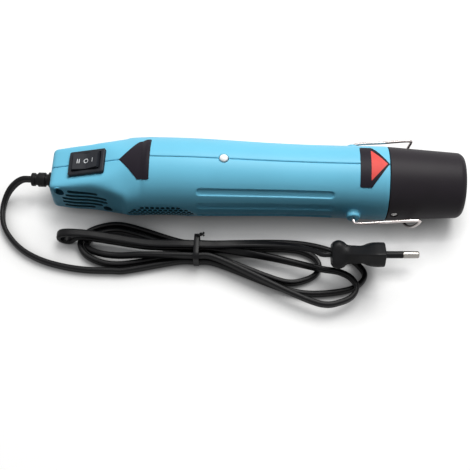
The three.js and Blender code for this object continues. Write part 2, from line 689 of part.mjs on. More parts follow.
// One unbroken helix of straight steps.
function heatingCoil() {
  const steps = COIL_STEPS * COIL_TURNS;
  const points = Array.from({ length: steps + 1 }, (_, i) => {
    const angle = 2 * Math.PI * i / COIL_STEPS + Math.PI / 4;
    const x = mix(COIL_FROM, COIL_TO, i / steps);
    return new THREE.Vector3(x, COIL_R * Math.cos(angle), COIL_R * Math.sin(angle));
  });
  const ringAt = (point, i) => {
    const tangent = points[Math.min(i + 1, steps)].clone().sub(points[Math.max(i - 1, 0)]).normalize();
    const out = new THREE.Vector3(0, point.y, point.z).normalize();
    const side = new THREE.Vector3().crossVectors(tangent, out).normalize();
    return Array.from({ length: COIL_SIDES }, (_, k) => {
      const turn = 2 * Math.PI * k / COIL_SIDES;
      return point.clone().addScaledVector(out, COIL_WIRE_R * Math.cos(turn))
        .addScaledVector(side, COIL_WIRE_R * Math.sin(turn));
    });
  };
  console.log('heating coil least gap', ((COIL_TO - COIL_FROM) / COIL_TURNS - 2 * COIL_WIRE_R).toFixed(2));
  return loft(points.map(ringAt));
}

// Motor

function motorCan() {
  const inner = MOTOR_R - MOTOR_WALL;
  const face = MOTOR_FRONT - MOTOR_WALL;
  const can = turned([[MOTOR_REAR, inner], [MOTOR_REAR, MOTOR_R], [MOTOR_FRONT, MOTOR_R],
    [MOTOR_FRONT, BUSH_R + GAP], [face, BUSH_R + GAP], [face, inner], [MOTOR_REAR, inner]], 0, 0, 24);
  return geometryOf(cut(solid(can), ...motorScrewHoles()));
}

function motorScrewHoles() {
  const [from, to] = [MOTOR_FRONT - MOTOR_WALL - THROUGH, MOTOR_FRONT + GAP + MOUNT_THICK + THROUGH];
  return [-1, 1].map((side) => rod(SMALL_SCREW_R + GAP, from, to, side * MOTOR_SCREW_Y, 0, 8));
}

function motorScrew(side) {
  const seat = MOTOR_FRONT + 2 * GAP + MOUNT_THICK;
  const end = MOTOR_FRONT - 2 * MOTOR_WALL;
  const profile = [[end, 0], [end, SMALL_SCREW_R], [seat, SMALL_SCREW_R], [seat, SMALL_HEAD_R],
    [seat + SCREW_HEAD, SMALL_HEAD_R], [seat + SCREW_HEAD, 0]];
  return turned(profile, side * MOTOR_SCREW_Y, 0, 10);
}

function magnet(side) {
  const outer = MOTOR_R - MOTOR_WALL - GAP;
  const half = radians(MAGNET_SPAN);
  const shape = new THREE.Shape();
  shape.absarc(0, 0, outer, Math.PI / 2 - half, Math.PI / 2 + half, false);
  shape.absarc(0, 0, outer - MAGNET, Math.PI / 2 + half, Math.PI / 2 - half, true);
  const length = ARMATURE_LENGTH + 2 * MAGNET;
  const geometry = new THREE.ExtrudeGeometry(shape, { depth: length, bevelEnabled: false, curveSegments: 6 });
  const middle = (MOTOR_REAR + MOTOR_FRONT) / 2;
  return geometry.rotateY(Math.PI / 2).rotateX(side < 0 ? Math.PI : 0).translate(middle - length / 2, 0, 0);
}

// The flat sides of the wall's inner section lie a little nearer than its corners.
function mountRadius() {
  const inner = (barrelRadius(MOTOR_FRONT) - WALL) * Math.cos(Math.PI / SECTION_SIDES);
  return inner - sag(MOTOR_FRONT) - GAP;
}

function motorMount() {
  const from = MOTOR_FRONT + GAP;
  const to = from + MOUNT_THICK;
  const outer = mountRadius();
  const spokes = [0, 1].map((turn) => {
    const spoke = block(MOUNT_THICK, 2 * outer - MOUNT_RIM, MOUNT_SPOKE, (from + to) / 2, 0, 0);
    return spoke.rotateX(Math.PI / 4 + turn * Math.PI / 2);
  });
  const rim = solid(ring(outer, outer - MOUNT_RIM, from, to));
  const frame = join(rim, rod(MOUNT_HUB_R, from, to, 0, 0, 20), ...spokes);
  const notches = [-1, 1].map((side) => (
    rod(2 * WIRE_R + GAP, from - THROUGH, to + THROUGH, side * WIRE_LANE.y, WIRE_LANE.z, 8)));
  const bore = rod(BUSH_R + GAP, from - THROUGH, to + THROUGH, 0, 0, 12);
  return geometryOf(cut(frame, bore, ...motorScrewHoles(), ...notches));
}

function fanBlade() {
  const middle = FAN_FROM + FAN_LENGTH / 2;
  const radii = [FAN_HUB_R - BLADE_THICK, (FAN_HUB_R + FAN_R) / 2, FAN_R];
  const rings = radii.map((radius, i) => {
    const pitch = radians(BLADE_PITCHES[i]);
    const along = new THREE.Vector3(Math.sin(pitch), Math.cos(pitch), 0);
    const across = new THREE.Vector3(-along.y, along.x, 0);
    return [[1, 1], [-1, 1], [-1, -1], [1, -1]].map(([u, v]) => new THREE.Vector3(middle, 0, radius)
      .addScaledVector(along, u * BLADE_CHORD / 2).addScaledVector(across, v * BLADE_THICK / 2));
  });
  return loft(rings);
}

function fanWheel() {
  const to = FAN_FROM + FAN_LENGTH;
  const bore = SHAFT_R + GAP;
  const profile = [[FAN_FROM, bore], [FAN_FROM, FAN_HUB_R], [to - FAN_NOSE, FAN_HUB_R],
    [to, FAN_HUB_R - FAN_NOSE], [to, bore], [FAN_FROM, bore]];
  const turns = Array.from({ length: FAN_BLADES }, (_, i) => 2 * Math.PI * i / FAN_BLADES);
  const blades = turns.map((turn) => fanBlade().rotateX(turn));
  return geometryOf(join(solid(turned(profile, 0, 0, 3 * FAN_BLADES)), ...blades));
}

function armature() {
  const middle = (MOTOR_REAR + MOTOR_FRONT) / 2;
  const half = ARMATURE_LENGTH / 2;
  const stack = solid(ring(ARMATURE_R, SHAFT_R + GAP, middle - half, middle + half, 24));
  const slots = [0, 120, 240].map((angle) => {
    const slot = block(2 * (half + THROUGH), ARMATURE_SLOT, ARMATURE_R, middle, 0, ARMATURE_R);
    return slot.rotateX(radians(angle));
  });
  return geometryOf(cut(stack, ...slots));
}

function bush(from) {
  return ring(BUSH_R, SHAFT_R + GAP, from, from + BUSH_LENGTH, 16);
}

function endCap() {
  const to = MOTOR_REAR - GAP;
  return ring(MOTOR_R - MOTOR_WALL / 2, BUSH_R + GAP, to - END_CAP, to, 24);
}

// Switch, in the panel's frame

function switchBody() {
  const bezel = solid(block(BEZEL_LENGTH, BEZEL_WIDTH, BEZEL_THICK, 0, 0, GAP + BEZEL_THICK / 2));
  const well = block(SWITCH_LENGTH, SWITCH_WIDTH, SWITCH_DEPTH + 2 * GAP, 0, 0, -SWITCH_DEPTH / 2 + GAP);
  const half = ROCKER_HALF_WIDTH + GAP;
  const cavity = rodAlongY(ROCKER_R + GAP, -half, half, 0, ROCKER_PIVOT, 36);
  const pinEnd = rockerPinEnd() + GAP;
  const pins = rodAlongY(ROCKER_PIN_R + GAP, -pinEnd, pinEnd, 0, ROCKER_PIVOT, 12);
  return geometryOf(cut(join(bezel, well), cavity, pins));
}

function rockerPinEnd() {
  return SWITCH_WIDTH / 2 - GAP;
}

function switchRocker() {
  const shape = new THREE.Shape();
  shape.absarc(0, 0, ROCKER_R, Math.PI - ROCKER_CORNER, 2 * Math.PI + ROCKER_CORNER, false);
  shape.lineTo(0, ROCKER_R * Math.sin(ROCKER_CORNER) - ROCKER_DISH);
  const options = { depth: 2 * ROCKER_HALF_WIDTH, bevelEnabled: false, curveSegments: 18 };
  const paddle = new THREE.ExtrudeGeometry(shape, options).rotateX(Math.PI / 2);
  paddle.translate(0, ROCKER_HALF_WIDTH, ROCKER_PIVOT);
  const pins = rodAlongY(ROCKER_PIN_R, -rockerPinEnd(), rockerPinEnd(), 0, ROCKER_PIVOT, 12);
  return geometryOf(join(solid(paddle), pins));
}

function switchTerminal(place) {
  const [thick, width, length] = TERMINAL;
  return block(thick, width, length, place * TERMINAL_PITCH, 0, -SWITCH_DEPTH - GAP - length / 2);
}

// Bail: one bent wire, from one boss round under the nozzle to the other boss

function bailWire() {
  const end = BOSS_FLOOR_Y + GAP;
  const low = AXIS_Z - BAIL_R - BAIL_LIFT;
  const reach = (side) => BAIL_REACH - BAIL_SKEW * side;
  const arch = [-75, -55, -35, -17, 0, 17, 35, 55, 75].map((degrees) => {
    const [side, down] = [Math.sin(radians(degrees)), Math.cos(radians(degrees))];
    const across = BAIL_LEG_Y * side - BAIL_SHIFT;
    return [BAIL_X + reach(side) - BAIL_LEAN * down, across, BAIL_RISE - (BAIL_RISE + low) * down];
  });
  const leg = (side) => {
    const y = side * BAIL_LEG_Y - BAIL_SHIFT;
    const along = (x) => [BAIL_X + x, y, BAIL_RISE * x / reach(side)];
    const tip = BAIL_X + reach(side) - 0.3 * BAIL_TIP_BEND;
    return [[BAIL_X, side * end, 0], [BAIL_X, y - side * BAIL_BEND, 0],
      [BAIL_X + 0.3 * BAIL_BEND, y - side * 0.3 * BAIL_BEND, 0], along(BAIL_BEND),
      along(reach(side) / 2), along(reach(side) - BAIL_TIP_BEND),
      [tip, y, BAIL_RISE - 0.5 * BAIL_TIP_BEND]];
  };
  const points = [...leg(-1), ...arch, ...leg(1).reverse()];
  return tube(points, BAIL_R, 78, 6);
}

// Stickers

// The skin's own edges within a half angle, and that half angle at both ends.
function edgesWithin(half, widest) {
  const pitch = 2 * Math.PI / SECTION_SIDES;
  const count = Math.ceil(widest / pitch);
  return between(-count, count, 2 * count + 1).map((i) => THREE.MathUtils.clamp(i * pitch, -half, half));
}

function sticker({ tip, shoulder, end, half }, lift) {
  const widest = radians(half);
  const halfAngle = (x) => widest * THREE.MathUtils.clamp((x - tip) / (shoulder - tip), STICKER_TIP, 1);
  const ends = edgesWithin(widest, widest).map((angle) => mix(tip, shoulder, Math.abs(angle) / widest));
  const anglesAt = (x) => edgesWithin(halfAngle(x), widest).map((angle) => Math.PI / 2 + angle);
  return skinPatch([...ends, end], anglesAt, -lift, -lift - STICKER);
}

// Strain relief and clamp

function strainRelief() {
  const inside = REAR_X + WALL + GAP;
  const [end] = GLAND_COLLARS.at(-1);
  const collars = [...GLAND_COLLARS].reverse().flatMap(([from, to, radius]) => [
    [from, GLAND_GROOVE_R], [from, radius], [to, radius], [to, GLAND_GROOVE_R]]);
  const profile = [[end, GLAND_BORE_R], ...collars.slice(1, -1), [GLAND_COLLARS[0][1], GLAND_NECK_R],
    [inside, GLAND_NECK_R], [inside, GLAND_FLANGE_R], [inside + GLAND_INNER, GLAND_FLANGE_R],
    [inside + GLAND_INNER, GLAND_BORE_R], [end, GLAND_BORE_R]];
  return turned(profile, 0, GLAND_Z, 12);
}

function cordClamp() {
  const [length, width, height] = CLAMP;
  const bar = solid(block(length, width, height, CLAMP_X, 0, clampBottom() + height / 2));
  const holes = [-1, 1].map((side) => rodAlongZ(SMALL_SCREW_R + GAP, clampBottom() - THROUGH,
    clampBottom() + height + THROUGH, CLAMP_X, side * CLAMP_SCREW_Y, 8));
  return geometryOf(cut(bar, ...holes));
}

function clampScrew(side) {
  const seat = clampBottom() + CLAMP[2] + GAP;
  const end = clampBottom() - CLAMP_SCREW_LENGTH;
  const profile = [[end, 0], [end, SMALL_SCREW_R], [seat, SMALL_SCREW_R], [seat, SMALL_HEAD_R],
    [seat + SCREW_HEAD, SMALL_HEAD_R], [seat + SCREW_HEAD, 0]];
  return turned(profile, 0, 0, 10).rotateY(-Math.PI / 2).translate(CLAMP_X, side * CLAMP_SCREW_Y, 0);
}

function housingScrew([x, z]) {
  const seat = -SCREW_WELL_Y - GAP;
  const top = seat - SCREW_HEAD;
  const profile = [[top, 0], [top, SCREW_HEAD_R], [seat, SCREW_HEAD_R], [seat, SCREW_R],
    [SCREW_END_Y, SCREW_R], [SCREW_END_Y, 0]];
  return turned(profile, 0, 0, 10).rotateZ(Math.PI / 2).translate(x, 0, z);
}

// Flat cord: points are [x, y, z, tilt], where the tilt turns the wide side from upright to flat.

function cordRings(points, steps, even = true) {
  const path = smoothPath(points);
  const tiltAt = (t) => {
    const place = t * (points.length - 1);
    const i = Math.min(Math.floor(place), points.length - 2);
    return radians(mix(points[i][3] ?? 0, points[i + 1][3] ?? 0, place - i));
  };
  return Array.from({ length: steps + 1 }, (_, i) => {
    const t = even ? path.getUtoTmapping(i / steps) : i / steps;
    const centre = path.getPoint(t);
    const tangent = path.getTangent(t);
    const tilt = tiltAt(t);
    const wide = new THREE.Vector3(0, Math.sin(tilt), Math.cos(tilt));
    wide.addScaledVector(tangent, -wide.dot(tangent)).normalize();
    const thin = new THREE.Vector3().crossVectors(tangent, wide);
    return { centre, wide, thin };
  });
}

function cordBody(rings, sides = CORD_SIDES) {
  return loft(rings.map(({ centre, wide, thin }) => (
    Array.from({ length: sides }, (_, i) => {
      const angle = 2 * Math.PI * (i + 0.5) / sides;
      const square = (value) => Math.sign(value) * Math.abs(value) ** CORD_SQUARE;
      return centre.clone().addScaledVector(wide, CORD_WIDE / 2 * square(Math.cos(angle)))
        .addScaledVector(thin, CORD_THICK / 2 * square(Math.sin(angle)));
    }))));
}

// One end loop of the hank: half an ellipse about (x, y), swung sideways by `slope`.
function endLoop({ x, y, reach, half, slope = 0, from, to }) {
  return [-90, -60, -30, 0, 30, 60, 90].map((degrees) => {
    const [along, across] = [Math.cos(radians(degrees)), Math.sin(radians(degrees))];
    const height = mix(to, from, Math.max(0, -across));
    return [x + reach * along, y + half * across + slope * reach * along, height, 0];
  });
}

const TIE_ROWS = {
  first: LAYER_1 + TIE_LIFT,
  second: LAYER_2 + TIE_LIFT,
  flat2: FLAT_2 + TIE_LIFT,
  flat3: FLAT_3 + TIE_LIFT,
};

// The straight passage of one strand through the tie, towards +X or -X.
function passage(y, z, direction, tilt = 0) {
  return [-TIE_RUN, 0, TIE_RUN].map((d) => [TIE_X + direction * d, y, z, tilt]);
}

const RIGHT_LOOPS = [
  { x: 25, y: -46.5, reach: 40, half: 15.6, slope: -0.09, from: LAYER_1, to: LAYER_1 },
  { x: 20, y: -45.4, reach: 18.5, half: 10.7, from: LAYER_1, to: LAYER_1 },
  { x: 40, y: -60.4, reach: 19.5, half: 11, from: LAYER_2, to: LAYER_2 },
];
const LEFT_LOOPS = [
  { x: -80, y: -35.3, reach: -23, half: 13, from: LAYER_1, to: LAYER_1 },
  { x: -80, y: -35.3, reach: -19, half: 9, from: LAYER_1 + 3.8, to: LAYER_1 },
];
const FRONT_Y = [-45.2, -41.2, -44];
const REAR_Y = [-33.2, -37.2, -37.8];
const FOLD = { x: -110.5, y: -32.8, z: 6.4, radius: 4.7 };
const LEAD_Z = AXIS_Z + GLAND_Z;
const LEAD = [[REAR_X, 0, LEAD_Z], [REAR_X - 7, 0, LEAD_Z], [-134.3, 0, LEAD_Z], [-139.5, 0, 14.9],
  [-144.5, -1.4, 11.6], [-148.6, -4.2, 7.4], [-151.2, -9.4, 4.2], [-151.8, -16.5, LAYER_1],
  [-149.6, -25.5, LAYER_1], [-144, -34, LAYER_1], [-136, -41.3, LAYER_1], [-125, -47, LAYER_1],
  [-112, -50.6, LAYER_1], [-98, -52.4, LAYER_1]];
const HANK_START = [-82, -52.4, LAYER_1, 0];

function hankPoints() {
  const { first, second, flat2, flat3 } = TIE_ROWS;
  const fold = [-70, -110, -150, 170, 130, 90].map((degrees) => [
    FOLD.x + FOLD.radius * Math.cos(radians(degrees)), FOLD.y,
    FOLD.z + FOLD.radius * Math.sin(radians(degrees)), FLAT]);
  return [
    HANK_START, [HANK_START[0] + CORD_WIDE, HANK_START[1], LAYER_1, 0],
    ...passage(FRONT_Y[0], first, 1), ...endLoop(RIGHT_LOOPS[0]), ...passage(REAR_Y[0], first, -1),
    ...endLoop(LEFT_LOOPS[0]).reverse(), ...passage(FRONT_Y[1], first, 1),
    ...endLoop(RIGHT_LOOPS[1]), ...passage(REAR_Y[1], first, -1),
    ...endLoop(LEFT_LOOPS[1]).reverse(), [-64, -44.2, LAYER_2 + 0.6, 0],
    ...passage(FRONT_Y[2], second, 1),
    ...endLoop(RIGHT_LOOPS[2]), [8, -42.6, LAYER_2, 20], ...passage(REAR_Y[2], flat2, -1, FLAT),
    [-62, -37.6, FLAT_2, FLAT], [-86, -34.6, FLAT_2, FLAT], [-98, -33.2, FLAT_2 + 0.4, FLAT],
    [-104.6, FOLD.y, FLAT_2 - 0.3, FLAT], ...fold, [-98, -33.2, FLAT_3 + 0.8, FLAT],
    [-84, -34.6, FLAT_3 + 0.2, FLAT], [-62, -37.4, FLAT_3, FLAT],
    ...passage(REAR_Y[2], flat3, 1, FLAT), HANK_END];
}

const HANK_END = [-19, -37.6, FLAT_3 + TIE_LIFT + 0.3, FLAT];

// Least gap of the hank to itself: centre distance less the half widths of the two sections along it.
function leastGap(rings, apart) {
  const reach = ({ wide, thin }, direction) => Math.hypot(CORD_WIDE / 2 * wide.dot(direction),
    CORD_THICK / 2 * thin.dot(direction));
  let least = { gap: Infinity };
  rings.forEach((a, i) => {
    rings.slice(i + apart).forEach((b) => {
      const direction = b.centre.clone().sub(a.centre);
      const gap = direction.length() - reach(a, direction.normalize()) - reach(b, direction);
      if (gap < least.gap) least = { gap, at: a.centre, to: b.centre };
    });
  });
  return least;
}

function cordHank() {
  const points = hankPoints();
  const fine = leastGap(cordRings(points, 1400), 40);
  const place = (point) => point.toArray().map((value) => value.toFixed(1)).join(' ');
  console.log('cord hank least gap', fine.gap.toFixed(2), 'from', place(fine.at), 'to', place(fine.to));
  return cordBody(cordRings(points, 2 * points.length, false), HANK_SIDES);
}

function cordTail(plugBack) {
  const [x, y, z] = plugBack;
  const turn = 180 - PLUG_TIP_OVER;
  const points = [[HANK_END[0] + GAP, HANK_END[1], HANK_END[2], FLAT], [-8, -36.9, 11.9, FLAT + 10],
    [8, -36.9, 12.4, FLAT + 25], [24, -39, 14.9, FLAT + 45], [x - 9.6, y + 3, z - 2.4, turn],
    [x - CORD_WIDE, y - 0.1, z - 0.2, turn], [x - GAP, y, z, turn]];
  return cordBody(cordRings(points, 22));
}

function cordLead() {
  return cordBody(cordRings([...LEAD, [HANK_START[0] - GAP, HANK_START[1], LAYER_1]], 40));
}

function cordTie() {
  const half = (Math.abs(FRONT_Y[0] - REAR_Y[0]) + CORD_THICK) / 2 + GAP;
  const middle = (FRONT_Y[0] + REAR_Y[0]) / 2;
  const top = TIE_ROWS.flat3 + CORD_THICK / 2 + GAP;
  const bottom = TIE_LIFT - GAP;
  const height = top - bottom;
  const centre = [TIE_X, middle, bottom + height / 2];
  const band = solid(block(TIE_WIDTH, 2 * (half + TIE_THICK), height + 2 * TIE_THICK, ...centre));
  const hollow = block(2 * TIE_WIDTH, 2 * half, height, ...centre);
  const ends = [-1, 1].map((side) => rod(TIE_THICK, 0, TIE_END, 0, 0, 6).rotateZ(radians(15 + 12 * side))
    .rotateY(radians(-14 * side - 18)).translate(TIE_X, REAR_Y[0] + 1.2 * side, top + TIE_THICK / 3));
  return geometryOf(join(cut(band, hollow), ...ends));
}

// Plug, along its own +X from the cord, wide along its own Z

function plugBody() {
  const rings = PLUG_SECTIONS.map(([x, thick, wide]) => Array.from({ length: PLUG_SIDES }, (_, i) => {
    const angle = 2 * Math.PI * i / PLUG_SIDES;
    const square = (value) => Math.sign(value) * Math.abs(value) ** (2 / PLUG_POWER);
    return new THREE.Vector3(x, thick * square(Math.cos(angle)), wide * square(Math.sin(angle)));
  }));
  const face = PLUG_SECTIONS.at(-1)[0];
  const [from, to] = [face - PLUG_PIN_DEPTH - GAP, face + THROUGH];
  const holes = [-1, 1].map((side) => (
    rod(PLUG_PIN_CORE_R + GAP, from, to, 0, side * PLUG_PIN_PITCH / 2, 12)));
  return geometryOf(cut(solid(loft(rings)), ...holes));
}

function plugPin(side) {
  const face = PLUG_SECTIONS.at(-1)[0];
  const [rear, step, tip] = [face - PLUG_PIN_DEPTH, face + PLUG_SLEEVE + GAP, face + PLUG_PIN_LENGTH];
  const profile = [[rear, 0], [rear, PLUG_PIN_CORE_R], [step, PLUG_PIN_CORE_R], [step, PLUG_PIN_R],
    [tip - PLUG_PIN_R, PLUG_PIN_R], [tip - 0.6, 0.7 * PLUG_PIN_R], [tip, 0]];
  return turned(profile, 0, side * PLUG_PIN_PITCH / 2, 12);
}

function plugSleeve(side) {
  const face = PLUG_SECTIONS.at(-1)[0];
  const [from, to] = [face + GAP, face + PLUG_SLEEVE];
  return ring(PLUG_PIN_R, PLUG_PIN_CORE_R + GAP, from, to, 12).translate(0, 0, side * PLUG_PIN_PITCH / 2);
}

// Inner wires

function innerWires() {
  const start = CORD_INNER_END + GAP;
  const under = BOARD_Z - BOARD_THICK / 2 - GAP - WIRE_R;
  const lane = (side) => WIRE_LANE_X.map((x) => [x, side * WIRE_LANE.y, WIRE_LANE.z]);
  const toBoard = (side) => WIRE_TO_LANE.map(([x, y, z = under]) => [x, side * y, z]);
  return {
    wire_live: [[start, 0.9, GLAND_Z], [start + 2, 0.9, GLAND_Z], [start + 3.8, 0.9, GLAND_Z]],
    wire_neutral: [[start, -0.9, GLAND_Z], [start + 1.2, -0.9, GLAND_Z], [start + 2.6, -2.6, GLAND_Z + 0.6],
      ...NEUTRAL_WAY, ...lane(-1), ...toBoard(-1)],
    wire_motor: [...toBoard(1).reverse(), ...lane(1).reverse(), ...MOTOR_WAY,
      [MOTOR_REAR - 2 * GAP - END_CAP - WIRE_R, 7, 0]],
    wire_heater: [[BOARD_TO + GAP + WIRE_R, 4, BOARD_Z], ...HEATER_WAY,
      [CUTOUT_X - CUTOUT[0] / 2 - GAP, MICA / 2 + GAP + CUTOUT[1] / 2, CUTOUT_Z]],
  };
}

function indicatorLens() {
  const foot = BOARD_Z + BOARD_THICK / 2 + GAP;
  const rim = barrelRadius(LAMP_X) - sag(LAMP_X);
  const dome = [0, 30, 60].map((degrees) => [rim + LAMP_PROUD * Math.sin(radians(degrees)),
    LAMP_R * Math.cos(radians(degrees))]);
  return turned([[foot, 0], [foot, LAMP_R], ...dome, [rim + LAMP_PROUD, 0]], 0, 0, 16).rotateY(-Math.PI / 2)
    .translate(LAMP_X, 0, 0);
}

// Assembly

function finish(kind) {
  const [color, roughness, metalness] = COLOURS[kind];
  return new THREE.MeshStandardMaterial({ color, roughness, metalness });
}

function add(parent, name, geometry, kind) {
  const mesh = new THREE.Mesh(closed(geometry), finish(kind));
  mesh.name = name;
  parent.add(mesh);
}

function addHousing(tool) {
  const whole = wholeHousing();
  add(tool, 'housing_left', housingHalf(whole, 1), 'housing');
  add(tool, 'housing_right', housingHalf(whole, -1), 'housing');
  HOUSING_SCREWS.forEach((place, i) => add(tool, `housing_screw_${i + 1}`, housingScrew(place), 'steel'));
  add(tool, 'rear_sticker', sticker(REAR_STICKER, STICKER_GAP), 'label');
  add(tool, 'front_sticker', sticker(FRONT_STICKER, STICKER_GAP), 'label');
  add(tool, 'red_triangle', sticker(RED_TRIANGLE, 2 * STICKER_GAP + STICKER), 'red');
}

function addHeater(tool) {
  add(tool, 'nozzle_guard', nozzleGuard(), 'black');
  NOZZLE_SCREW_ANGLES.forEach((angle, i) => add(tool, `nozzle_screw_${i + 1}`, nozzleScrew(angle), 'steel'));
  const tubeFront = NOZZLE_FRONT - NOZZLE_LIP - GAP;
  add(tool, 'heater_tube', ring(TUBE_R, TUBE_R - TUBE_WALL, TUBE_REAR, tubeFront), 'steel');
  const middle = (MICA_FROM + MICA_TO) / 2;
  add(tool, 'mica_plate_upright', micaPlate(MICA_FROM - THROUGH, middle + GAP), 'mica');
  add(tool, 'mica_plate_level', micaPlate(middle - GAP, MICA_TO + THROUGH).rotateX(Math.PI / 2), 'mica');
  add(tool, 'heating_coil', heatingCoil(), 'nichrome');
  const cutoutY = MICA / 2 + GAP + CUTOUT[1] / 2;
  add(tool, 'thermal_cutout', block(...CUTOUT, CUTOUT_X, cutoutY, CUTOUT_Z), 'white');
}

function addMotor(tool) {
  add(tool, 'motor_can', motorCan(), 'steel');
  add(tool, 'motor_end_cap', endCap(), 'nylon');
  add(tool, 'motor_bush_front', bush(MOTOR_FRONT - MOTOR_WALL - GAP), 'brass');
  add(tool, 'motor_bush_rear', bush(MOTOR_REAR - GAP - END_CAP), 'brass');
  [-1, 1].forEach((side, i) => add(tool, `motor_magnet_${i + 1}`, magnet(side), 'magnet'));
  add(tool, 'motor_armature', armature(), 'copper');
  const shaftEnds = [MOTOR_REAR - END_CAP - SHAFT_END, FAN_FROM + FAN_LENGTH - SHAFT_END];
  add(tool, 'motor_shaft', rod(SHAFT_R, ...shaftEnds, 0, 0, 12), 'steel');
  add(tool, 'fan_wheel', fanWheel(), 'nylon');
  add(tool, 'motor_mount', motorMount(), 'nylon');
  [-1, 1].forEach((side, i) => add(tool, `motor_screw_${i + 1}`, motorScrew(side), 'steel'));
}

function addElectrics(tool) {
  const size = [BOARD_TO - BOARD_FROM, 2 * BOARD_HALF_WIDTH, BOARD_THICK];
  add(tool, 'rectifier_board', block(...size, (BOARD_FROM + BOARD_TO) / 2, 0, BOARD_Z), 'board');
  const under = BOARD_Z - BOARD_THICK / 2 - GAP;
  add(tool, 'bridge_rectifier', block(...BRIDGE, BRIDGE_X, -BRIDGE[1], under - BRIDGE[2] / 2), 'black');
  const canEnds = [CAPACITOR_X, CAPACITOR_X + CAPACITOR_LENGTH];
  add(tool, 'capacitor', rod(CAPACITOR_R, ...canEnds, CAPACITOR_R, under - CAPACITOR_R), 'label');
  const over = BOARD_Z + BOARD_THICK / 2 + GAP + RESISTOR_R;
  add(tool, 'resistor', rod(RESISTOR_R, -RESISTOR_LENGTH, 0, 3 * RESISTOR_R, over, 10), 'mica');
  add(tool, 'indicator_lens', indicatorLens(), 'white');
  const kinds = {
    wire_live: 'copper', wire_neutral: 'blueWire', wire_motor: 'redWire', wire_heater: 'white',
  };
  Object.entries(innerWires()).forEach(([name, points]) => {
    add(tool, name, tube(points, WIRE_R, 2 * points.length), kinds[name]);
  });
}

function addSwitch(tool) {
  const frame = panelFrame();
  tool.add(frame);
  add(frame, 'switch_body', switchBody(), 'black');
  add(frame, 'switch_rocker', switchRocker(), 'black');
  [-1, 0, 1].forEach((place, i) => add(frame, `switch_terminal_${i + 1}`, switchTerminal(place), 'brass'));
}

function addCordEntry(tool) {
  add(tool, 'strain_relief', strainRelief(), 'cord');
  add(tool, 'cord_clamp', cordClamp(), 'nylon');
  [-1, 1].forEach((side, i) => add(tool, `clamp_screw_${i + 1}`, clampScrew(side), 'steel'));
  const ends = [[CORD_INNER_END, 0, GLAND_Z], [REAR_X + GAP, 0, GLAND_Z]];
  add(tool, 'cord_inner', cordBody(cordRings(ends, 1)), 'cord');
}

function addCord(root) {
  add(root, 'cord_lead', cordLead(), 'cord');
  add(root, 'cord_hank', cordHank(), 'cord');
  add(root, 'cord_tail', cordTail(PLUG_BACK), 'cord');
  add(root, 'cord_tie', cordTie(), 'cord');
}

function addPlug(root) {
  const plug = new THREE.Group();
  plug.position.set(...PLUG_BACK);
  plug.rotation.set(radians(PLUG_TIP_OVER), 0, PLUG_YAW, 'ZYX');
  root.add(plug);
  add(plug, 'plug_body', plugBody(), 'cord');
  [-1, 1].forEach((side, i) => {
    add(plug, `plug_pin_${i + 1}`, plugPin(side), 'steel');
    add(plug, `plug_sleeve_${i + 1}`, plugSleeve(side), 'sleeve');
  });
}

function hotAirTool() {
  const root = new THREE.Group();
  const tool = new THREE.Group();
  tool.position.z = AXIS_Z;
  root.add(tool);
  addHousing(tool);
  addHeater(tool);
  addMotor(tool);
  addElectrics(tool);
  addSwitch(tool);
  addCordEntry(tool);
  add(tool, 'bail_wire', bailWire(), 'steel');
  addCord(root);
  addPlug(root);
  return root;
}

const group = hotAirTool();
export default group;
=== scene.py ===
"""Looks of a hand-held hot air tool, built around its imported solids.

Sizes are millimetres in the tool's frame: +X towards the nozzle, +Z up and the
floor at zero. Every piece is made in place, so each object keeps its origin.
"""

import json
import logging
import math
from dataclasses import dataclass
from enum import Enum
from typing import Iterable, Sequence, Union

import bmesh
import bpy
from mathutils import Matrix, Vector

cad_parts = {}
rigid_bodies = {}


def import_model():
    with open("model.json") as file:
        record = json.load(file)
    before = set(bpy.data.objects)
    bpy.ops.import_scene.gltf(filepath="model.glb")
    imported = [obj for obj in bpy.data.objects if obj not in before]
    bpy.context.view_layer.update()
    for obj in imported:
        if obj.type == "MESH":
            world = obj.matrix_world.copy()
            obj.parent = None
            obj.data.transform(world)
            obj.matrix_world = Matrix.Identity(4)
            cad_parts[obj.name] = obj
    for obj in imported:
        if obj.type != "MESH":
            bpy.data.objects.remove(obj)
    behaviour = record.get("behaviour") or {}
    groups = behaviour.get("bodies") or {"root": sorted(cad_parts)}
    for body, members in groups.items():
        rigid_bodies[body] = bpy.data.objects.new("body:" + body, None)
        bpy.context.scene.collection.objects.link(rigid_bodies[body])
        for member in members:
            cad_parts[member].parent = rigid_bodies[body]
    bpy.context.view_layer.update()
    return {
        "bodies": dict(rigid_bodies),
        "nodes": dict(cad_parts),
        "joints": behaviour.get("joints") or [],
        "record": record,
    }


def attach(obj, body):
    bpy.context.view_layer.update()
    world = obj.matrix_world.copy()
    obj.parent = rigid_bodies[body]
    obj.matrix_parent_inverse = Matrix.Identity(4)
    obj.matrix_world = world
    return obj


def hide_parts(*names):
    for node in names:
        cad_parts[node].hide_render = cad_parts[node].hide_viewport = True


LOG = logging.getLogger("hot_air_tool")
MM = 0.001
TAU = 2.0 * math.pi
BULGE_SCALE = 9.5  # brings the peak of w ** 3 * (1 - w) to one

# Places that several pieces share
AXIS_Z = 24.1
GLAND_Z = AXIS_Z - 8.7
BAIL_X = 56.5
LAMP_X = -18.9
SWITCH_X = -97.8
OUTSIDE = 26.0  # a radius clear of every skin, where cutters end

ON_AXIS = Matrix.Translation((0.0, 0.0, AXIS_Z))
AT_GLAND = Matrix.Translation((0.0, 0.0, GLAND_Z))
UPWARDS = Matrix.Translation((LAMP_X, 0.0, AXIS_Z)) @ Matrix.Rotation(-math.pi / 2, 4, "Y")

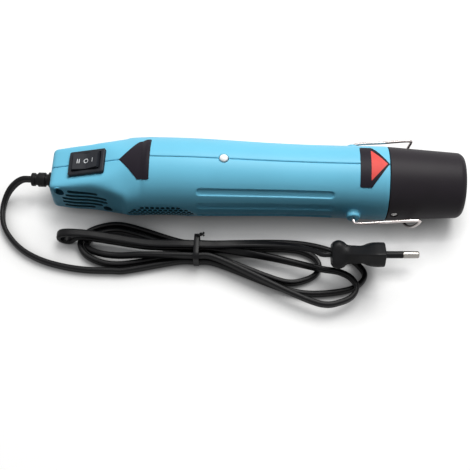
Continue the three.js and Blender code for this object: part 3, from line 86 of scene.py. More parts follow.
Piece = bpy.types.Object
Material = bpy.types.Material
Socket = bpy.types.NodeSocket
Pair = tuple[float, float]
Triple = tuple[float, float, float]
Outline = Sequence[Pair]
Ring = Sequence[Vector]
Place = tuple[Vector, Vector]
Number = Union["Value", float]


def mix(low: float, high: float, share: float) -> float:
    """Returns the value at a share of the way from low to high."""
    return low + (high - low) * share


def ease(x: float, start: float, end: float) -> float:
    """Returns a cosine step that is 0 up to start and 1 from end on."""
    share = min(max((x - start) / (end - start), 0.0), 1.0)
    return (1.0 - math.cos(math.pi * share)) / 2.0


def spread(low: float, high: float, step: float) -> list[float]:
    """Returns even stations from low to high, about one step apart."""
    count = max(1, round(abs(high - low) / step))
    return [mix(low, high, i / count) for i in range(count + 1)]


def rounded(corners: Sequence[Triple], looped: bool = False, steps: int = 6) -> Outline:
    """Rounds the corners of a flat polyline.

    Args:
        corners: Two coordinates and a rounding length for each corner.
        looped: Whether the last corner leads back to the first.
        steps: Pieces in each rounding.

    Returns:
        The points of the rounded line.
    """
    line: list[Pair] = []
    count = len(corners)
    for i, (u, v, size) in enumerate(corners):
        here = Vector((u, v))
        if size <= 0 or (not looped and i in (0, count - 1)):
            line.append((u, v))
            continue
        back = Vector(corners[i - 1][:2]) - here
        ahead = Vector(corners[(i + 1) % count][:2]) - here
        reach = min(size, back.length / 2, ahead.length / 2)
        start, end = here + back.normalized() * reach, here + ahead.normalized() * reach
        for k in range(steps + 1):
            t = k / steps
            point = start * (1 - t) ** 2 + here * (2 * t * (1 - t)) + end * t ** 2
            line.append((point.x, point.y))
    return line


def rounded_box(low: Pair, high: Pair, corner: float, steps: int = 6) -> Outline:
    """Returns the rectangle between two places, its corners rounded."""
    return rounded([(u, v, corner) for u, v in (low, (high[0], low[1]), high, (low[0], high[1]))], True, steps)


def circle(radius: float, sides: int) -> Outline:
    """Returns a round outline."""
    return [(radius * math.cos(TAU * i / sides), radius * math.sin(TAU * i / sides)) for i in range(sides)]


def smooth_line(points: Sequence[Sequence[float]], step: float) -> list[Vector]:
    """Runs a centripetal spline through points.

    Args:
        points: Points of any number of coordinates; the first three are a place.
        step: Distance between the samples.

    Returns:
        Samples with as many coordinates as the points.
    """
    given = [Vector(point) for point in points]
    given = [2 * given[0] - given[1], *given, 2 * given[-1] - given[-2]]
    line = []
    for a, b, c, d in zip(given, given[1:], given[2:], given[3:]):
        span = [math.sqrt((Vector(q[:3]) - Vector(p[:3])).length) for p, q in ((a, b), (b, c), (c, d))]
        span[1] = span[1] or 1.0
        span = [value or span[1] for value in span]
        start = ((b - a) / span[0] - (c - a) / (span[0] + span[1]) + (c - b) / span[1]) * span[1]
        end = ((c - b) / span[1] - (d - b) / (span[1] + span[2]) + (d - c) / span[2]) * span[1]
        count = max(1, round((Vector(c[:3]) - Vector(b[:3])).length / step))
        for k in range(count):
            t = k / count
            bend = -3 * b + 3 * c - 2 * start - end
            line.append(b + start * t + bend * t ** 2 + (2 * b - 2 * c + start + end) * t ** 3)
    return [*line, given[-2]]


def evaluated(piece: Piece) -> None:
    """Gives a piece the mesh that its modifiers make, and drops them."""
    graph = bpy.context.evaluated_depsgraph_get()
    mesh = bpy.data.meshes.new_from_object(piece.evaluated_get(graph))
    old = piece.data
    piece.modifiers.clear()
    piece.data = mesh
    bpy.data.meshes.remove(old)
    mesh.name = piece.name


def shaded(piece: Piece, sharp: float) -> Piece:
    """Shades a piece smooth except where its faces meet at over `sharp` degrees."""
    piece.data.polygons.foreach_set("use_smooth", [True] * len(piece.data.polygons))
    piece.data.set_sharp_from_angle(angle=math.radians(sharp))
    return piece


def discard(pieces: Iterable[Piece]) -> None:
    """Removes helper objects with their meshes."""
    for piece in pieces:
        mesh = piece.data
        bpy.data.objects.remove(piece)
        bpy.data.meshes.remove(mesh)


def carve(piece: Piece, helpers: Sequence[Piece], operation: str = "DIFFERENCE") -> None:
    """Cuts helpers from a piece, or joins them to it, and removes them."""
    for helper in helpers:
        step = piece.modifiers.new("carve", "BOOLEAN")
        step.operation = operation
        step.solver = "MANIFOLD"
        step.object = helper
    evaluated(piece)
    discard(helpers)


def softened(piece: Piece, width: float, sharp: float = 35.0) -> Piece:
    """Rounds the sharp edges of a piece to a width in millimetres."""
    step = piece.modifiers.new("edges", "BEVEL")
    step.width = width * MM
    step.segments = 3
    step.limit_method = "ANGLE"
    step.angle_limit = math.radians(sharp)
    evaluated(piece)
    return shaded(piece, sharp)


@dataclass
class Form:
    """Corners, in millimetres, and faces of a shape that is still being made."""

    corners: list[Vector]
    faces: list[tuple[int, ...]]

    @classmethod
    def loft(cls, rings: Sequence[Ring], looped: bool = False) -> "Form":
        """Joins rings of equally many corners, with flat ends unless looped."""
        count, total = len(rings[0]), len(rings)
        faces = []
        for k in range(total if looped else total - 1):
            here, there = k * count, (k + 1) % total * count
            for i in range(count):
                j = (i + 1) % count
                faces.append((here + i, here + j, there + j, there + i))
        if not looped:
            faces += [tuple(reversed(range(count))), tuple(range((total - 1) * count, total * count))]
        return cls([Vector(corner) for ring in rings for corner in ring], faces)

    @classmethod
    def turned(cls, profile: Outline, sides: int = 48) -> "Form":
        """Turns an outline of (x, radius) about X; it closes on itself or starts and ends on X."""
        rings = [[Vector((x, u, v)) for u, v in circle(radius, sides)] for x, radius in profile]
        return cls.loft(rings, looped=profile[0][1] > 0)

    @classmethod
    def rod(cls, start: float, end: float, radius: float, sides: int = 32) -> "Form":
        """Returns a plain rod along X."""
        return cls.turned([(start, 0.0), (start, radius), (end, radius), (end, 0.0)], sides)

    @classmethod
    def swept(cls, line: Sequence[Vector], outline: Outline) -> "Form":
        """Carries an outline along a line without twisting it."""
        rings = []
        across = Vector((0.0, 0.0, 1.0))
        for i, point in enumerate(line):
            ahead = line[min(i + 1, len(line) - 1)] - line[max(i - 1, 0)]
            ahead.normalize()
            across = (across - ahead * across.dot(ahead)).normalized()
            up = ahead.cross(across)
            rings.append([point + across * u + up * v for u, v in outline])
        return cls.loft(rings)

    @classmethod
    def prism(cls, outline: Outline, low: float, high: float) -> "Form":
        """Raises an outline of (x, y) from one height to another."""
        return cls.loft([[Vector((x, y, z)) for x, y in outline] for z in (low, high)])

    def moved(self, turn: Matrix) -> "Form":
        """Returns the form placed by a matrix in millimetres."""
        return Form([turn @ corner for corner in self.corners], self.faces)

    def __add__(self, other: "Form") -> "Form":
        shift = len(self.corners)
        faces = [tuple(i + shift for i in face) for face in other.faces]
        return Form(self.corners + other.corners, self.faces + faces)

    def piece(self, name: str, material: Union[Material, None] = None,
              sharp: float = 35.0) -> Piece:
        """Makes the form an object in the scene."""
        mesh = bpy.data.meshes.new(name)
        mesh.from_pydata([corner * MM for corner in self.corners], [], self.faces)
        work = bmesh.new()
        work.from_mesh(mesh)
        bmesh.ops.remove_doubles(work, verts=work.verts, dist=1e-7)
        bmesh.ops.dissolve_degenerate(work, edges=work.edges, dist=1e-8)
        bmesh.ops.recalc_face_normals(work, faces=work.faces)
        wide = [face for face in work.faces if len(face.verts) > 4]
        bmesh.ops.triangulate(work, faces=wide, ngon_method="EAR_CLIP")
        work.to_mesh(mesh)
        work.free()
        if material:
            mesh.materials.append(material)
        made = bpy.data.objects.new(name, mesh)
        bpy.context.scene.collection.objects.link(made)
        return shaded(made, sharp)


class Graph:
    """A node tree whose nodes are added with one call each."""

    def __init__(self, tree: bpy.types.NodeTree) -> None:
        self.tree = tree

    def node(self, kind: str, settings: Union[dict, None] = None, inputs: Union[dict, None] = None) -> bpy.types.Node:
        """Adds a node.

        Args:
            kind: The node's type.
            settings: Values of its properties.
            inputs: Values, sockets or expressions for its input sockets.

        Returns:
            The node.
        """
        made = self.tree.nodes.new(kind)
        for key, value in (settings or {}).items():
            setattr(made, key, value)
        for key, value in (inputs or {}).items():
            source = value.socket if isinstance(value, Value) else value
            if isinstance(source, Socket):
                self.tree.links.new(source, made.inputs[key])
            else:
                made.inputs[key].default_value = source
        return made


class Value:
    """A shader number that takes part in arithmetic."""

    def __init__(self, graph: Graph, socket: Socket) -> None:
        self.graph = graph
        self.socket = socket

    def _math(self, operation: str, first: Number, second: Number) -> "Value":
        made = self.graph.node("ShaderNodeMath", {"operation": operation}, {0: first, 1: second})
        return Value(self.graph, made.outputs[0])

    def __add__(self, other: Number) -> "Value":
        return self._math("ADD", self, other)

    __radd__ = __add__

    def __sub__(self, other: Number) -> "Value":
        return self._math("SUBTRACT", self, other)

    def __rsub__(self, other: Number) -> "Value":
        return self._math("SUBTRACT", other, self)

    def __mul__(self, other: Number) -> "Value":
        return self._math("MULTIPLY", self, other)

    __rmul__ = __mul__

    def step(self, low: float, high: float) -> "Value":
        """Returns a smooth step of the number from 0 at low to 1 at high."""
        made = self.graph.node("ShaderNodeMapRange", {"interpolation_type": "SMOOTHSTEP"},
                               {"Value": self, "From Min": low, "From Max": high})
        return Value(self.graph, made.outputs[0])


class Shader(Graph):
    """A material in the making."""

    def __init__(self, name: str) -> None:
        self.material = bpy.data.materials.new(name)
        self.material.use_nodes = True
        super().__init__(self.material.node_tree)
        self.tree.nodes.clear()
        self.place = self.node("ShaderNodeTexCoord").outputs["Object"]

    def noise(self, size: float, detail: float = 2.0, stretch: Triple = (1.0, 1.0, 1.0)) -> Value:
        """Returns noise with features of a size in millimetres, stretched along the axes."""
        scale = [1.0 / (size * MM * share) for share in stretch]
        spot = self.node("ShaderNodeMapping", {"vector_type": "POINT"}, {"Vector": self.place, "Scale": scale})
        made = self.node("ShaderNodeTexNoise", None,
                         {"Vector": spot.outputs[0], "Scale": 1.0, "Detail": detail})
        return Value(self, made.outputs[0])

    def blend(self, share: Value, low: Union[Triple, Socket], high: Triple) -> Socket:
        """Returns the colour at a share of the way between two."""
        start = low if isinstance(low, Socket) else (*low, 1.0)
        made = self.node("ShaderNodeMix", {"data_type": "RGBA"}, {0: share, 6: start, 7: (*high, 1.0)})
        return made.outputs[2]

    def attribute(self, name: str) -> Value:
        """Returns a number that the mesh carries."""
        return Value(self, self.node("ShaderNodeAttribute", {"attribute_name": name}).outputs["Fac"])

    def bump(self, height: Value, depth: float) -> Socket:
        """Returns a normal roughened by a height field of a depth in millimetres."""
        made = self.node("ShaderNodeBump", None, {"Strength": 1.0, "Distance": depth * MM, "Height": height})
        return made.outputs[0]

    def close(self, inputs: dict) -> Material:
        """Ends the tree in a surface with these inputs."""
        surface = self.node("ShaderNodeBsdfPrincipled", None, inputs)
        self.node("ShaderNodeOutputMaterial", None, {"Surface": surface.outputs[0]})
        return self.material


def linear(colour: Triple) -> Triple:
    """Returns a screen colour of 0 to 255 as linear light."""
    shares = [value / 255.0 for value in colour]
    return tuple(s / 12.92 if s <= 0.04045 else ((s + 0.055) / 1.055) ** 2.4 for s in shares)


@dataclass(frozen=True)
class Finish:
    """A moulded or coated surface with a slight drift of tone and a fine grain, with optional painted shade on marked
    recesses and an optional faint painted glow.
    """

    name: str
    colour: Triple
    roughness: float = 0.45
    drift: float = 0.05
    drift_size: float = 24.0
    grain_size: float = 0.4
    grain_depth: float = 0.012
    coat: float = 0.0
    specular: float = 0.5
    subsurface: float = 0.0
    # strength of a faint painted glow in the finish's own colour
    glow: float = 0.0
    # share of the colour left on faces marked as recesses: painted shade, 1 leaves them alone
    recess: float = 1.0

    def material(self) -> Material:
        """Returns the finish as a material."""
        shader = Shader(self.name)
        cloud = shader.noise(self.drift_size, 3.0)
        grain = shader.noise(self.grain_size, 3.0)
        tone = linear(self.colour)
        share = cloud.step(0.3, 0.7)
        low, high = ([value * (1.0 + sign * self.drift) for value in tone] for sign in (-1, 1))
        paint = shader.blend(share, low, high)
        # painted shade: faces that carry the recess mark take a darker copy of the colour
        if self.recess < 1.0:
            paint = shader.blend(shader.attribute("recess"), paint, [self.recess * value for value in tone])
        inputs = {
            "Base Color": paint,
            "Roughness": self.roughness + (grain - 0.5) * 0.12 + (cloud - 0.5) * 0.1,
            "Normal": shader.bump(grain, self.grain_depth),
            "Specular IOR Level": self.specular,
            "Coat Weight": self.coat,
            "Coat Roughness": 0.12,
        }
        if self.subsurface:
            inputs |= {"Subsurface Weight": self.subsurface, "Subsurface Scale": 0.004}
        # painted light: the surface glows faintly in its own colour
        if self.glow:
            inputs |= {"Emission Color": (*tone, 1.0), "Emission Strength": self.glow}
        return shader.close(inputs)


@dataclass(frozen=True)
class Metal:
    """A bare metal with drawing or turning lines along one axis."""

    name: str
    colour: Triple
    roughness: float = 0.3
    lines: Triple = (1.0, 1.0, 1.0)
    line_size: float = 0.5
    line_depth: float = 0.006

    def material(self) -> Material:
        """Returns the metal as a material."""
        shader = Shader(self.name)
        lines = shader.noise(self.line_size, 3.0, self.lines)
        stain = shader.noise(9.0, 3.0)
        tone = linear(self.colour)
        inputs = {
            "Base Color": shader.blend(stain.step(0.35, 0.75), tone, [0.86 * value for value in tone]),
            "Metallic": 1.0,
            "Roughness": self.roughness + (lines - 0.5) * 0.2 + (stain - 0.5) * 0.16,
            "Normal": shader.bump(lines, self.line_depth),
        }
        return shader.close(inputs)


class Look(Enum):
    """The finishes of the tool."""

    # recess=0.25 paints shade: marked recess faces keep a quarter of the blue
    BLUE = Finish("blue_moulding", (114, 197, 228), 0.42, 0.03, 40.0, 0.5, 0.008, specular=0.2, recess=0.25)
    NOZZLE = Finish("black_moulding", (31, 27, 32), 0.52, 0.1, 18.0, 0.45, 0.02, specular=0.16)
    SWITCH = Finish("switch_moulding", (31, 33, 39), 0.5, 0.06, 8.0, 0.3, 0.008, specular=0.2)
    MARK = Finish("white_print", (222, 226, 230), 0.5, 0.04, 4.0, 0.3, 0.004)
    FILM = Finish("black_film", (23, 18, 27), 0.55, 0.1, 14.0, 0.6, 0.006, specular=0.15)
    RED = Finish("red_film", (226, 82, 76), 0.55, 0.06, 9.0, 0.6, 0.006, specular=0.2)
    # glow=0.12 is painted light: the lens of the unplugged, unlit lamp glows faintly
    LENS = Finish("lamp_lens", (238, 243, 246), 0.18, 0.02, 6.0, 0.8, 0.002, coat=0.6, subsurface=0.3, glow=0.12)
    CORD = Finish("cord_sheath", (11, 11, 13), 0.42, 0.12, 14.0, 0.6, 0.02, specular=0.14)
    PLUG = Finish("plug_moulding", (13, 13, 15), 0.44, 0.1, 10.0, 0.45, 0.018, specular=0.14)
    TIE = Finish("tie_coating", (15, 15, 17), 0.4, 0.08, 5.0, 0.4, 0.01, specular=0.14)
    NYLON = Finish("nylon", (226, 222, 212), 0.5, 0.04, 12.0, 0.5, 0.01, subsurface=0.1)
    WHITE = Finish("white_moulding", (236, 240, 242), 0.35, 0.03, 8.0, 0.5, 0.006)
    MICA = Finish("mica_sheet", (184, 172, 146), 0.4, 0.16, 5.0, 1.6, 0.03)
    BOARD = Finish("laminate", (138, 112, 61), 0.5, 0.1, 6.0, 0.5, 0.01)
    FERRITE = Finish("ferrite", (74, 74, 79), 0.62, 0.14, 4.0, 0.4, 0.03)
    BROWN_WIRE = Finish("brown_insulation", (108, 64, 38), 0.42, 0.06, 8.0, 0.4, 0.008)
    BLUE_WIRE = Finish("blue_insulation", (46, 94, 173), 0.42, 0.06, 8.0, 0.4, 0.008)
    RED_WIRE = Finish("red_insulation", (163, 48, 43), 0.42, 0.06, 8.0, 0.4, 0.008)
    WHITE_WIRE = Finish("white_insulation", (234, 234, 230), 0.42, 0.04, 8.0, 0.4, 0.008)
    STEEL = Metal("steel", (172, 168, 166), 0.32)
    BAIL = Metal("drawn_wire", (196, 188, 186), 0.22, (8.0, 1.0, 1.0), 0.3, 0.004)
    PIN = Metal("nickel_plate", (150, 147, 143), 0.22, (1.0, 1.0, 1.0), 0.5, 0.003)
    BRASS = Metal("brass", (188, 152, 92), 0.3)
    COPPER = Metal("enamelled_copper", (158, 92, 54), 0.36, (1.0, 1.0, 6.0), 0.4, 0.01)
    HEATER = Metal("oxidised_wire", (112, 106, 102), 0.42)

    @property
    def material(self) -> Material:
        """The finish's one material."""
        return bpy.data.materials.get(self.value.name) or self.value.material()


KEPT_NODES = {
    Look.STEEL: ("heater_tube", "motor_can", "motor_shaft", "motor_screw_1", "motor_screw_2", "clamp_screw_1",
                 "clamp_screw_2"),
    Look.MICA: ("mica_plate_upright", "mica_plate_level", "resistor"),
    Look.WHITE: ("thermal_cutout",),
    Look.NYLON: ("motor_end_cap", "fan_wheel", "motor_mount", "cord_clamp"),
    Look.BRASS: ("motor_bush_front", "motor_bush_rear", "switch_terminal_1", "switch_terminal_2",
                 "switch_terminal_3"),
    Look.FERRITE: ("motor_magnet_1", "motor_magnet_2"),
    Look.COPPER: ("motor_armature",),
    Look.BOARD: ("rectifier_board",),
    Look.NOZZLE: ("bridge_rectifier",),
    Look.FILM: ("capacitor",),
    Look.BROWN_WIRE: ("wire_live",),
    Look.BLUE_WIRE: ("wire_neutral",),
    Look.RED_WIRE: ("wire_motor",),
    Look.WHITE_WIRE: ("wire_heater",),
    Look.CORD: ("cord_inner",),
}


def dress(piece: Piece, body: str, slot: str, *nodes: str) -> Piece:
    """Fixes a piece to a body in place of some nodes."""
    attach(piece, body)
    if nodes:
        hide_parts(*nodes)
    LOG.info("%s: %d faces", piece.name, len(piece.data.polygons))
    return piece


class NodeTool(Graph):
    """A geometry tree that makes the mesh of a piece."""

    def __init__(self, name: str, inputs: dict[str, str]) -> None:
        super().__init__(bpy.data.node_groups.new(name, "GeometryNodeTree"))
        sockets = self.tree.interface.new_socket
        self.inputs = {key: sockets(key, in_out="INPUT", socket_type=f"NodeSocket{kind}")
                       for key, kind in {**inputs, "Finish": "Material"}.items()}
        sockets("Made", in_out="OUTPUT", socket_type="NodeSocketGeometry")
        self.given = self.node("NodeGroupInput").outputs

    def close(self, made: bpy.types.Node) -> None:
        """Ends the tree in what a node makes, with the finish on it."""
        real = self.node("GeometryNodeRealizeInstances", None, {"Geometry": made.outputs[0]})
        done = self.node("GeometryNodeSetMaterial", None, {
            "Geometry": real.outputs[0], "Material": self.given["Finish"]})
        self.node("NodeGroupOutput", None, {"Made": done.outputs[0]})

    def run(self, piece: Piece, values: dict) -> None:
        """Gives a piece the mesh that the tree makes with these inputs."""
        step = piece.modifiers.new("make", "NODES")
        step.node_group = self.tree
        for key, value in values.items():
            step[self.inputs[key].identifier] = value
        evaluated(piece)


class Repeater(NodeTool):
    """A tree that sets one shape on every point of a mesh, its X along the point's axis."""

    def __init__(self) -> None:
        super().__init__("set_on_points", {"Points": "Geometry", "Shape": "Object"})
        axis = self.node("GeometryNodeInputNamedAttribute", {"data_type": "FLOAT_VECTOR"}, {"Name": "axis"})
        turn = self.node("FunctionNodeAlignRotationToVector", {"axis": "X"}, {"Vector": axis.outputs[0]})
        shape = self.node("GeometryNodeObjectInfo", {"transform_space": "ORIGINAL"}, {"Object": self.given["Shape"]})
        self.close(self.node("GeometryNodeInstanceOnPoints", None, {
            "Points": self.given["Points"], "Instance": shape.outputs["Geometry"], "Rotation": turn.outputs[0]}))

    def piece(self, name: str, shape: Form, places: Sequence[Place], material: Material) -> Piece:
        """Makes one object of all the copies.

        Args:
            name: The object's name.
            shape: What is repeated.
            places: A point and an axis for each copy.
            material: The copies' material.

        Returns:
            The object.
        """
        helper = shape.piece(name + "_shape")
        made = Form([point for point, _ in places], []).piece(name)
        axes = made.data.attributes.new("axis", "FLOAT_VECTOR", "POINT")
        axes.data.foreach_set("vector", [value for _, axis in places for value in axis])
        self.run(made, {"Shape": helper, "Finish": material})
        discard([helper])
        return shaded(made, 35.0)


@dataclass(frozen=True)
class HousingForm:
    """The smooth outer surface of the housing: a round barrel that the tail's flat sides cut."""

    rear: float = -120.0
    front: float = 75.7
    belly: Pair = (-60.0, 23.2)
    waist: Pair = (34.0, 21.1)
    front_radius: float = 21.5
    sag_depth: float = 0.9
    sag_ends: Pair = (-74.0, -30.0)
    tail_widths: Pair = (14.0, 15.5)
    tail_full_x: float = -104.0
    tail_depth: float = 17.4
    tail_drop: float = 0.04
    tail_ends: Pair = (-78.0, -63.0)
    swell_x: float = -100.0
    swell: float = 0.0101
    crease: Pair = (13.0, 3.0)
    crease_ends: Pair = (-94.4, -67.3)
    facet: Pair = (math.radians(34.0), math.radians(60.6))
    facet_turns: Pair = (-104.0, -78.0)
    panel_rear: float = 5.4
    panel_tilt: float = math.radians(16.3)
    panel_ends: Pair = (-66.5, -54.4)
    facet_rise: float = 2.4
    facet_ends: Pair = (-80.0, -64.0)
    power: float = 14.0

    def barrel(self, x: float) -> float:
        """Returns the radius of the round part."""
        if x < self.waist[0]:
            return mix(self.belly[1], self.waist[1], ease(x, self.belly[0], self.waist[0]))
        return mix(self.waist[1], self.front_radius, ease(x, self.waist[0], self.front))

    def sag(self, x: float) -> float:
        """Returns how far the section's centre hangs below the axis."""
        return self.sag_depth * (1.0 - ease(x, *self.sag_ends))

    def panel(self, x: float) -> float:
        """Returns the height of the switch panel over the axis."""
        return self.panel_rear + (x - self.rear) * math.tan(self.panel_tilt)

    def reach(self, x: float, angle: float, inset: float) -> float:
        """Returns the surface's distance from the section's centre at an angle from +Y."""
        back, sag = x - self.rear, self.sag(x)
        tail = 1.0 - ease(x, *self.tail_ends)
        panel = 1.0 - ease(x, *self.panel_ends)
        across, up = abs(math.cos(angle)), math.sin(angle)
        swell = self.swell * max(x - self.swell_x, 0.0) ** 2
        width = mix(*self.tail_widths, ease(x, self.rear, self.tail_full_x)) + swell
        top = self.panel(x) + sag
        lean = mix(*self.facet, ease(x, *self.facet_turns))
        level, steep = math.cos(lean), math.sin(lean)
        facet = mix(*self.crease, ease(x, *self.crease_ends)) * level + top * steep
        facet += self.facet_rise * ease(x, *self.facet_ends)
        limits = (
            1.0 / (self.barrel(x) - inset),
            tail * across / (width - inset),
            panel * max(up, 0.0) / (top - inset),
            panel * max(across * level + up * steep, 0.0) / (facet - inset),
            tail * max(-up, 0.0) / (self.tail_depth + self.tail_drop * back + swell - sag - inset),
        )
        return sum(limit ** self.power for limit in limits) ** (-1.0 / self.power)

    def point(self, x: float, angle: float, inset: float = 0.0) -> Vector:
        """Returns a point of the surface, or of one sunk below it."""
        radius = self.reach(x, angle, inset)
        return Vector((x, radius * math.cos(angle), AXIS_Z + radius * math.sin(angle) - self.sag(x)))

    def panel_frame(self, x: float) -> Matrix:
        """Returns the frame of the switch panel at x, its Z out of the panel."""
        place = Matrix.Translation((x, 0.0, AXIS_Z + self.panel(x)))
        return place @ Matrix.Rotation(-self.panel_tilt, 4, "Y")


@dataclass(frozen=True)
class Housing:
    """The two halves of the housing with their grooves, vents, grille and bosses."""

    form: HousingForm = HousingForm()
    wall: float = 2.0
    rear_round: Pair = (3.0, 1.8)
    seam: float = 0.15
    seam_steps: tuple[Pair, ...] = ((0.15, 0.4), (0.3, 0.2), (0.55, 0.05), (1.0, 0.0))
    spigot_radius: float = 18.6
    spigot_bore: float = 16.6
    spigot_root: float = 69.7
    spigot_end: float = 88.0
    groove_ends: Pair = (-34.0, 44.8)
    groove_half_width: float = 2.3
    groove_depth: float = 0.8
    groove_edge: Pair = (-0.75, 0.15)
    groove_angles: tuple[float, ...] = (-38.0, -13.0, 13.0, 38.0)
    grille_x: float = -55.0
    grille_angle: float = -14.0
    grille_half_length: float = 18.0
    grille_half_angle: float = 25.0
    grille_pitch: float = 3.0
    grille_rows: int = 6
    grille_columns: int = 7
    grille_hole: float = 1.25
    grille_cut: Pair = (2.0, 7.0)
    grille_dish: float = 0.7
    dish_edge: Pair = (1.02, 1.14)
    recess_depth: float = 0.3
    seam_half: float = 0.8
    recess_ends: Pair = (-116.5, 75.0)
    vent_height: float = 2.3
    vent_top: float = 3.9
    vent_pitch: float = 3.9
    vent_wall: float = 16.0
    vent_cut: float = 8.0
    vent_ends: tuple[Pair, ...] = ((-109.3, -91.5), (-110.8, -86.4), (-113.3, -86.2), (-113.4, -89.6),
                                                  (-112.9, -94.4))
    screws: tuple[Pair, ...] = ((-114.2, 2.0), (-86.9, -11.0))
    screw_seat: float = 8.6
    screw_post: Pair = (7.0, 3.8)
    post_sink: float = 0.8
    well_radius: float = 2.8
    lamp_well: Pair = (2.8, 4.0)
    gland_cut: Triple = (-126.0, -112.0, 3.9)
    switch_window: Pair = (9.8, 6.8)
    boss_radius: float = 4.0
    boss_end: float = 24.2
    boss_hole: float = 1.2

    def groove(self, x: float, angle: float) -> float:
        """Returns how deep the grip grooves and the dish of the grille go at a place of the skin."""
        start, end = self.groove_ends
        off = min(abs(math.degrees(angle) - middle) for middle in self.groove_angles)
        across = math.radians(off) * self.form.barrel(x)
        along = max(abs(x - (start + end) / 2) - (end - start) / 2 + self.groove_half_width, 0.0)
        edge = math.hypot(across, along) - self.groove_half_width
        oval = math.hypot((x - self.grille_x) / self.grille_half_length,
                          (math.degrees(angle) - self.grille_angle) / self.grille_half_angle)
        dish = self.grille_dish * (1.0 - ease(oval, *self.dish_edge))
        return self.groove_depth * (1.0 - ease(edge, *self.groove_edge)) + dish

    def angles(self) -> list[float]:
        """Returns the angles, from the lower seam to the upper, with more of them at the groove edges."""
        half = math.degrees(self.groove_half_width / self.form.waist[1])
        dense = [middle + side * half + 0.45 * k for middle in self.groove_angles for side in (-1, 1)
                 for k in range(-7, 4)]
        coarse = [angle for angle in spread(-83.0, 83.0, 2.0) if min(abs(angle - other) for other in dense) > 0.5]
        return [math.radians(angle) for angle in sorted(set(dense + coarse))]

    def meridian(self, x: float, inset: float, outer: bool) -> list[Vector]:
        """Returns one row of the skin, or of the inner wall, from the lower seam to the upper, for +Y."""
        row = []
        for end in (-1, 1):
            reach = self.form.reach(x, end * math.pi / 2, inset)
            steps = self.seam_steps if end < 0 else self.seam_steps[::-1]
            for away, depth in steps:
                angle = end * math.acos(away / reach)
                point = self.form.point(x, angle, inset + (depth if outer else 0.0))
                row.append(Vector((point.x, away, point.z)))
            if end < 0:
                row += [self.form.point(x, angle, inset + (self.groove(x, angle) if outer else 0.0))
                        for angle in self.angles()]
        return row

    def collar(self, x: float, radius: float) -> list[Vector]:
        """Returns one row of the round front part."""
        aways = [away for away, _ in self.seam_steps]
        angles = [-math.acos(away / radius) for away in aways] + self.angles()
        angles += [math.acos(away / radius) for away in aways[::-1]]
        return [Vector((x, radius * math.cos(angle), AXIS_Z + radius * math.sin(angle))) for angle in angles]

    def half(self, side: int) -> Form:
        """Returns one hollow half, for the +Y or the -Y side."""
        form, wall = self.form, self.wall
        away, deep = self.rear_round
        rear = [(away * (1.0 - math.cos(turn)), deep * (1.0 - math.sin(turn)))
                for turn in (math.pi / 2 * k / 8 for k in range(9))]
        start, end = self.groove_ends
        zones = ((form.rear + away, 1.5), (-76.0, 1.0), (start - 0.5, 0.5), (start + 4.5, 3.0), (end - 4.5, 0.5),
                 (end + 0.5, 2.5), (form.front - 0.6, 0.0))
        plain = [x for (low, step), (high, _) in zip(zones, zones[1:]) for x in spread(low, high, step)[1:]]
        rows = [self.meridian(form.rear + step, inset, True) for step, inset in rear]
        rows += [self.meridian(x, 0.0, True) for x in plain]
        rows += [self.meridian(form.front - 0.2, 0.12, True), self.meridian(form.front, 0.45, True)]
        for x, radius in rounded(((form.front, self.spigot_radius, 0), (self.spigot_end, self.spigot_radius, 0.5),
                                  (self.spigot_end, self.spigot_bore, 0.5), (self.spigot_root, self.spigot_bore, 0))):
            rows.append(self.collar(x, radius))
        rows += [self.meridian(x, wall, False) for x in spread(self.spigot_root, form.rear + wall, 4.0)]
        count = len(rows[0])
        faces = [(k * count + i, k * count + i + 1, (k + 1) * count + i + 1, (k + 1) * count + i)
                 for k in range(len(rows) - 1) for i in range(count - 1)]
        corners = [corner for row in rows for corner in row]
        poles = []
        for k, x in ((0, form.rear), (len(rows) - 1, form.rear + wall)):
            middle = (rows[k][0] + rows[k][-1]) / 2
            poles.append(len(corners))
            corners.append(Vector((middle.x, self.seam, middle.z)))
            faces += [(poles[-1], k * count + i, k * count + i + 1) for i in range(count - 1)]
        lower = [k * count for k in range(len(rows))]
        upper = [k * count + count - 1 for k in reversed(range(len(rows)))]
        faces.append((poles[0], *lower, poles[1], *upper))
        return Form(corners, faces).moved(Matrix.Diagonal((1.0, side, 1.0, 1.0)))

    def boss(self, side: int) -> Form:
        """Returns the pivot boss of the bail."""
        line = rounded(((18.6, 0.0, 0), (18.6, 5.4, 0), (20.6, 5.4, 0.8), (21.7, self.boss_radius, 0.9),
                        (self.boss_end, self.boss_radius, 1.7), (self.boss_end, 0.0, 0)))
        return Form.turned(line, 40).moved(self.across(BAIL_X, 0.0, side))

    def across(self, x: float, height: float, side: int) -> Matrix:
        """Returns a frame on the axis plane whose X points out of one side."""
        return Matrix.Translation((x, 0.0, AXIS_Z + height)) @ Matrix.Rotation(side * math.pi / 2, 4, "Z")

    def vents(self, side: int) -> Form:
        """Returns the cutters of the cooling slots."""
        half = self.vent_height / 2
        cutter = Form([], [])
        for i, (start, end) in enumerate(self.vent_ends):
            slot = rounded_box((start, -half), (end, half), half)
            height = AXIS_Z + self.vent_top - self.vent_pitch * i
            turn = Matrix.Translation((0.0, side * self.vent_wall, height)) @ Matrix.Rotation(math.pi / 2, 4, "X")
            cutter += Form.prism(slot, -self.vent_cut, self.vent_cut).moved(turn)
        return cutter

    def grille_places(self, side: int) -> list[Place]:
        """Returns where the belly grille is pierced and in which directions."""
        pitch = self.grille_pitch
        step = math.degrees(pitch * math.sqrt(0.75) / self.form.belly[1])
        places = []
        for row in range(-self.grille_rows, self.grille_rows + 1):
            for column in range(-self.grille_columns, self.grille_columns + 1):
                along = (column + 0.5 * (row % 2)) * pitch
                if math.hypot(along / self.grille_half_length, row * step / self.grille_half_angle) > 1.0:
                    continue
                angle = math.radians(self.grille_angle + row * step)
                point = self.form.point(self.grille_x + along, angle, -self.grille_cut[0])
                point.y *= side
                places.append((point, Vector((0.0, -side * math.cos(angle), -math.sin(angle)))))
        return places

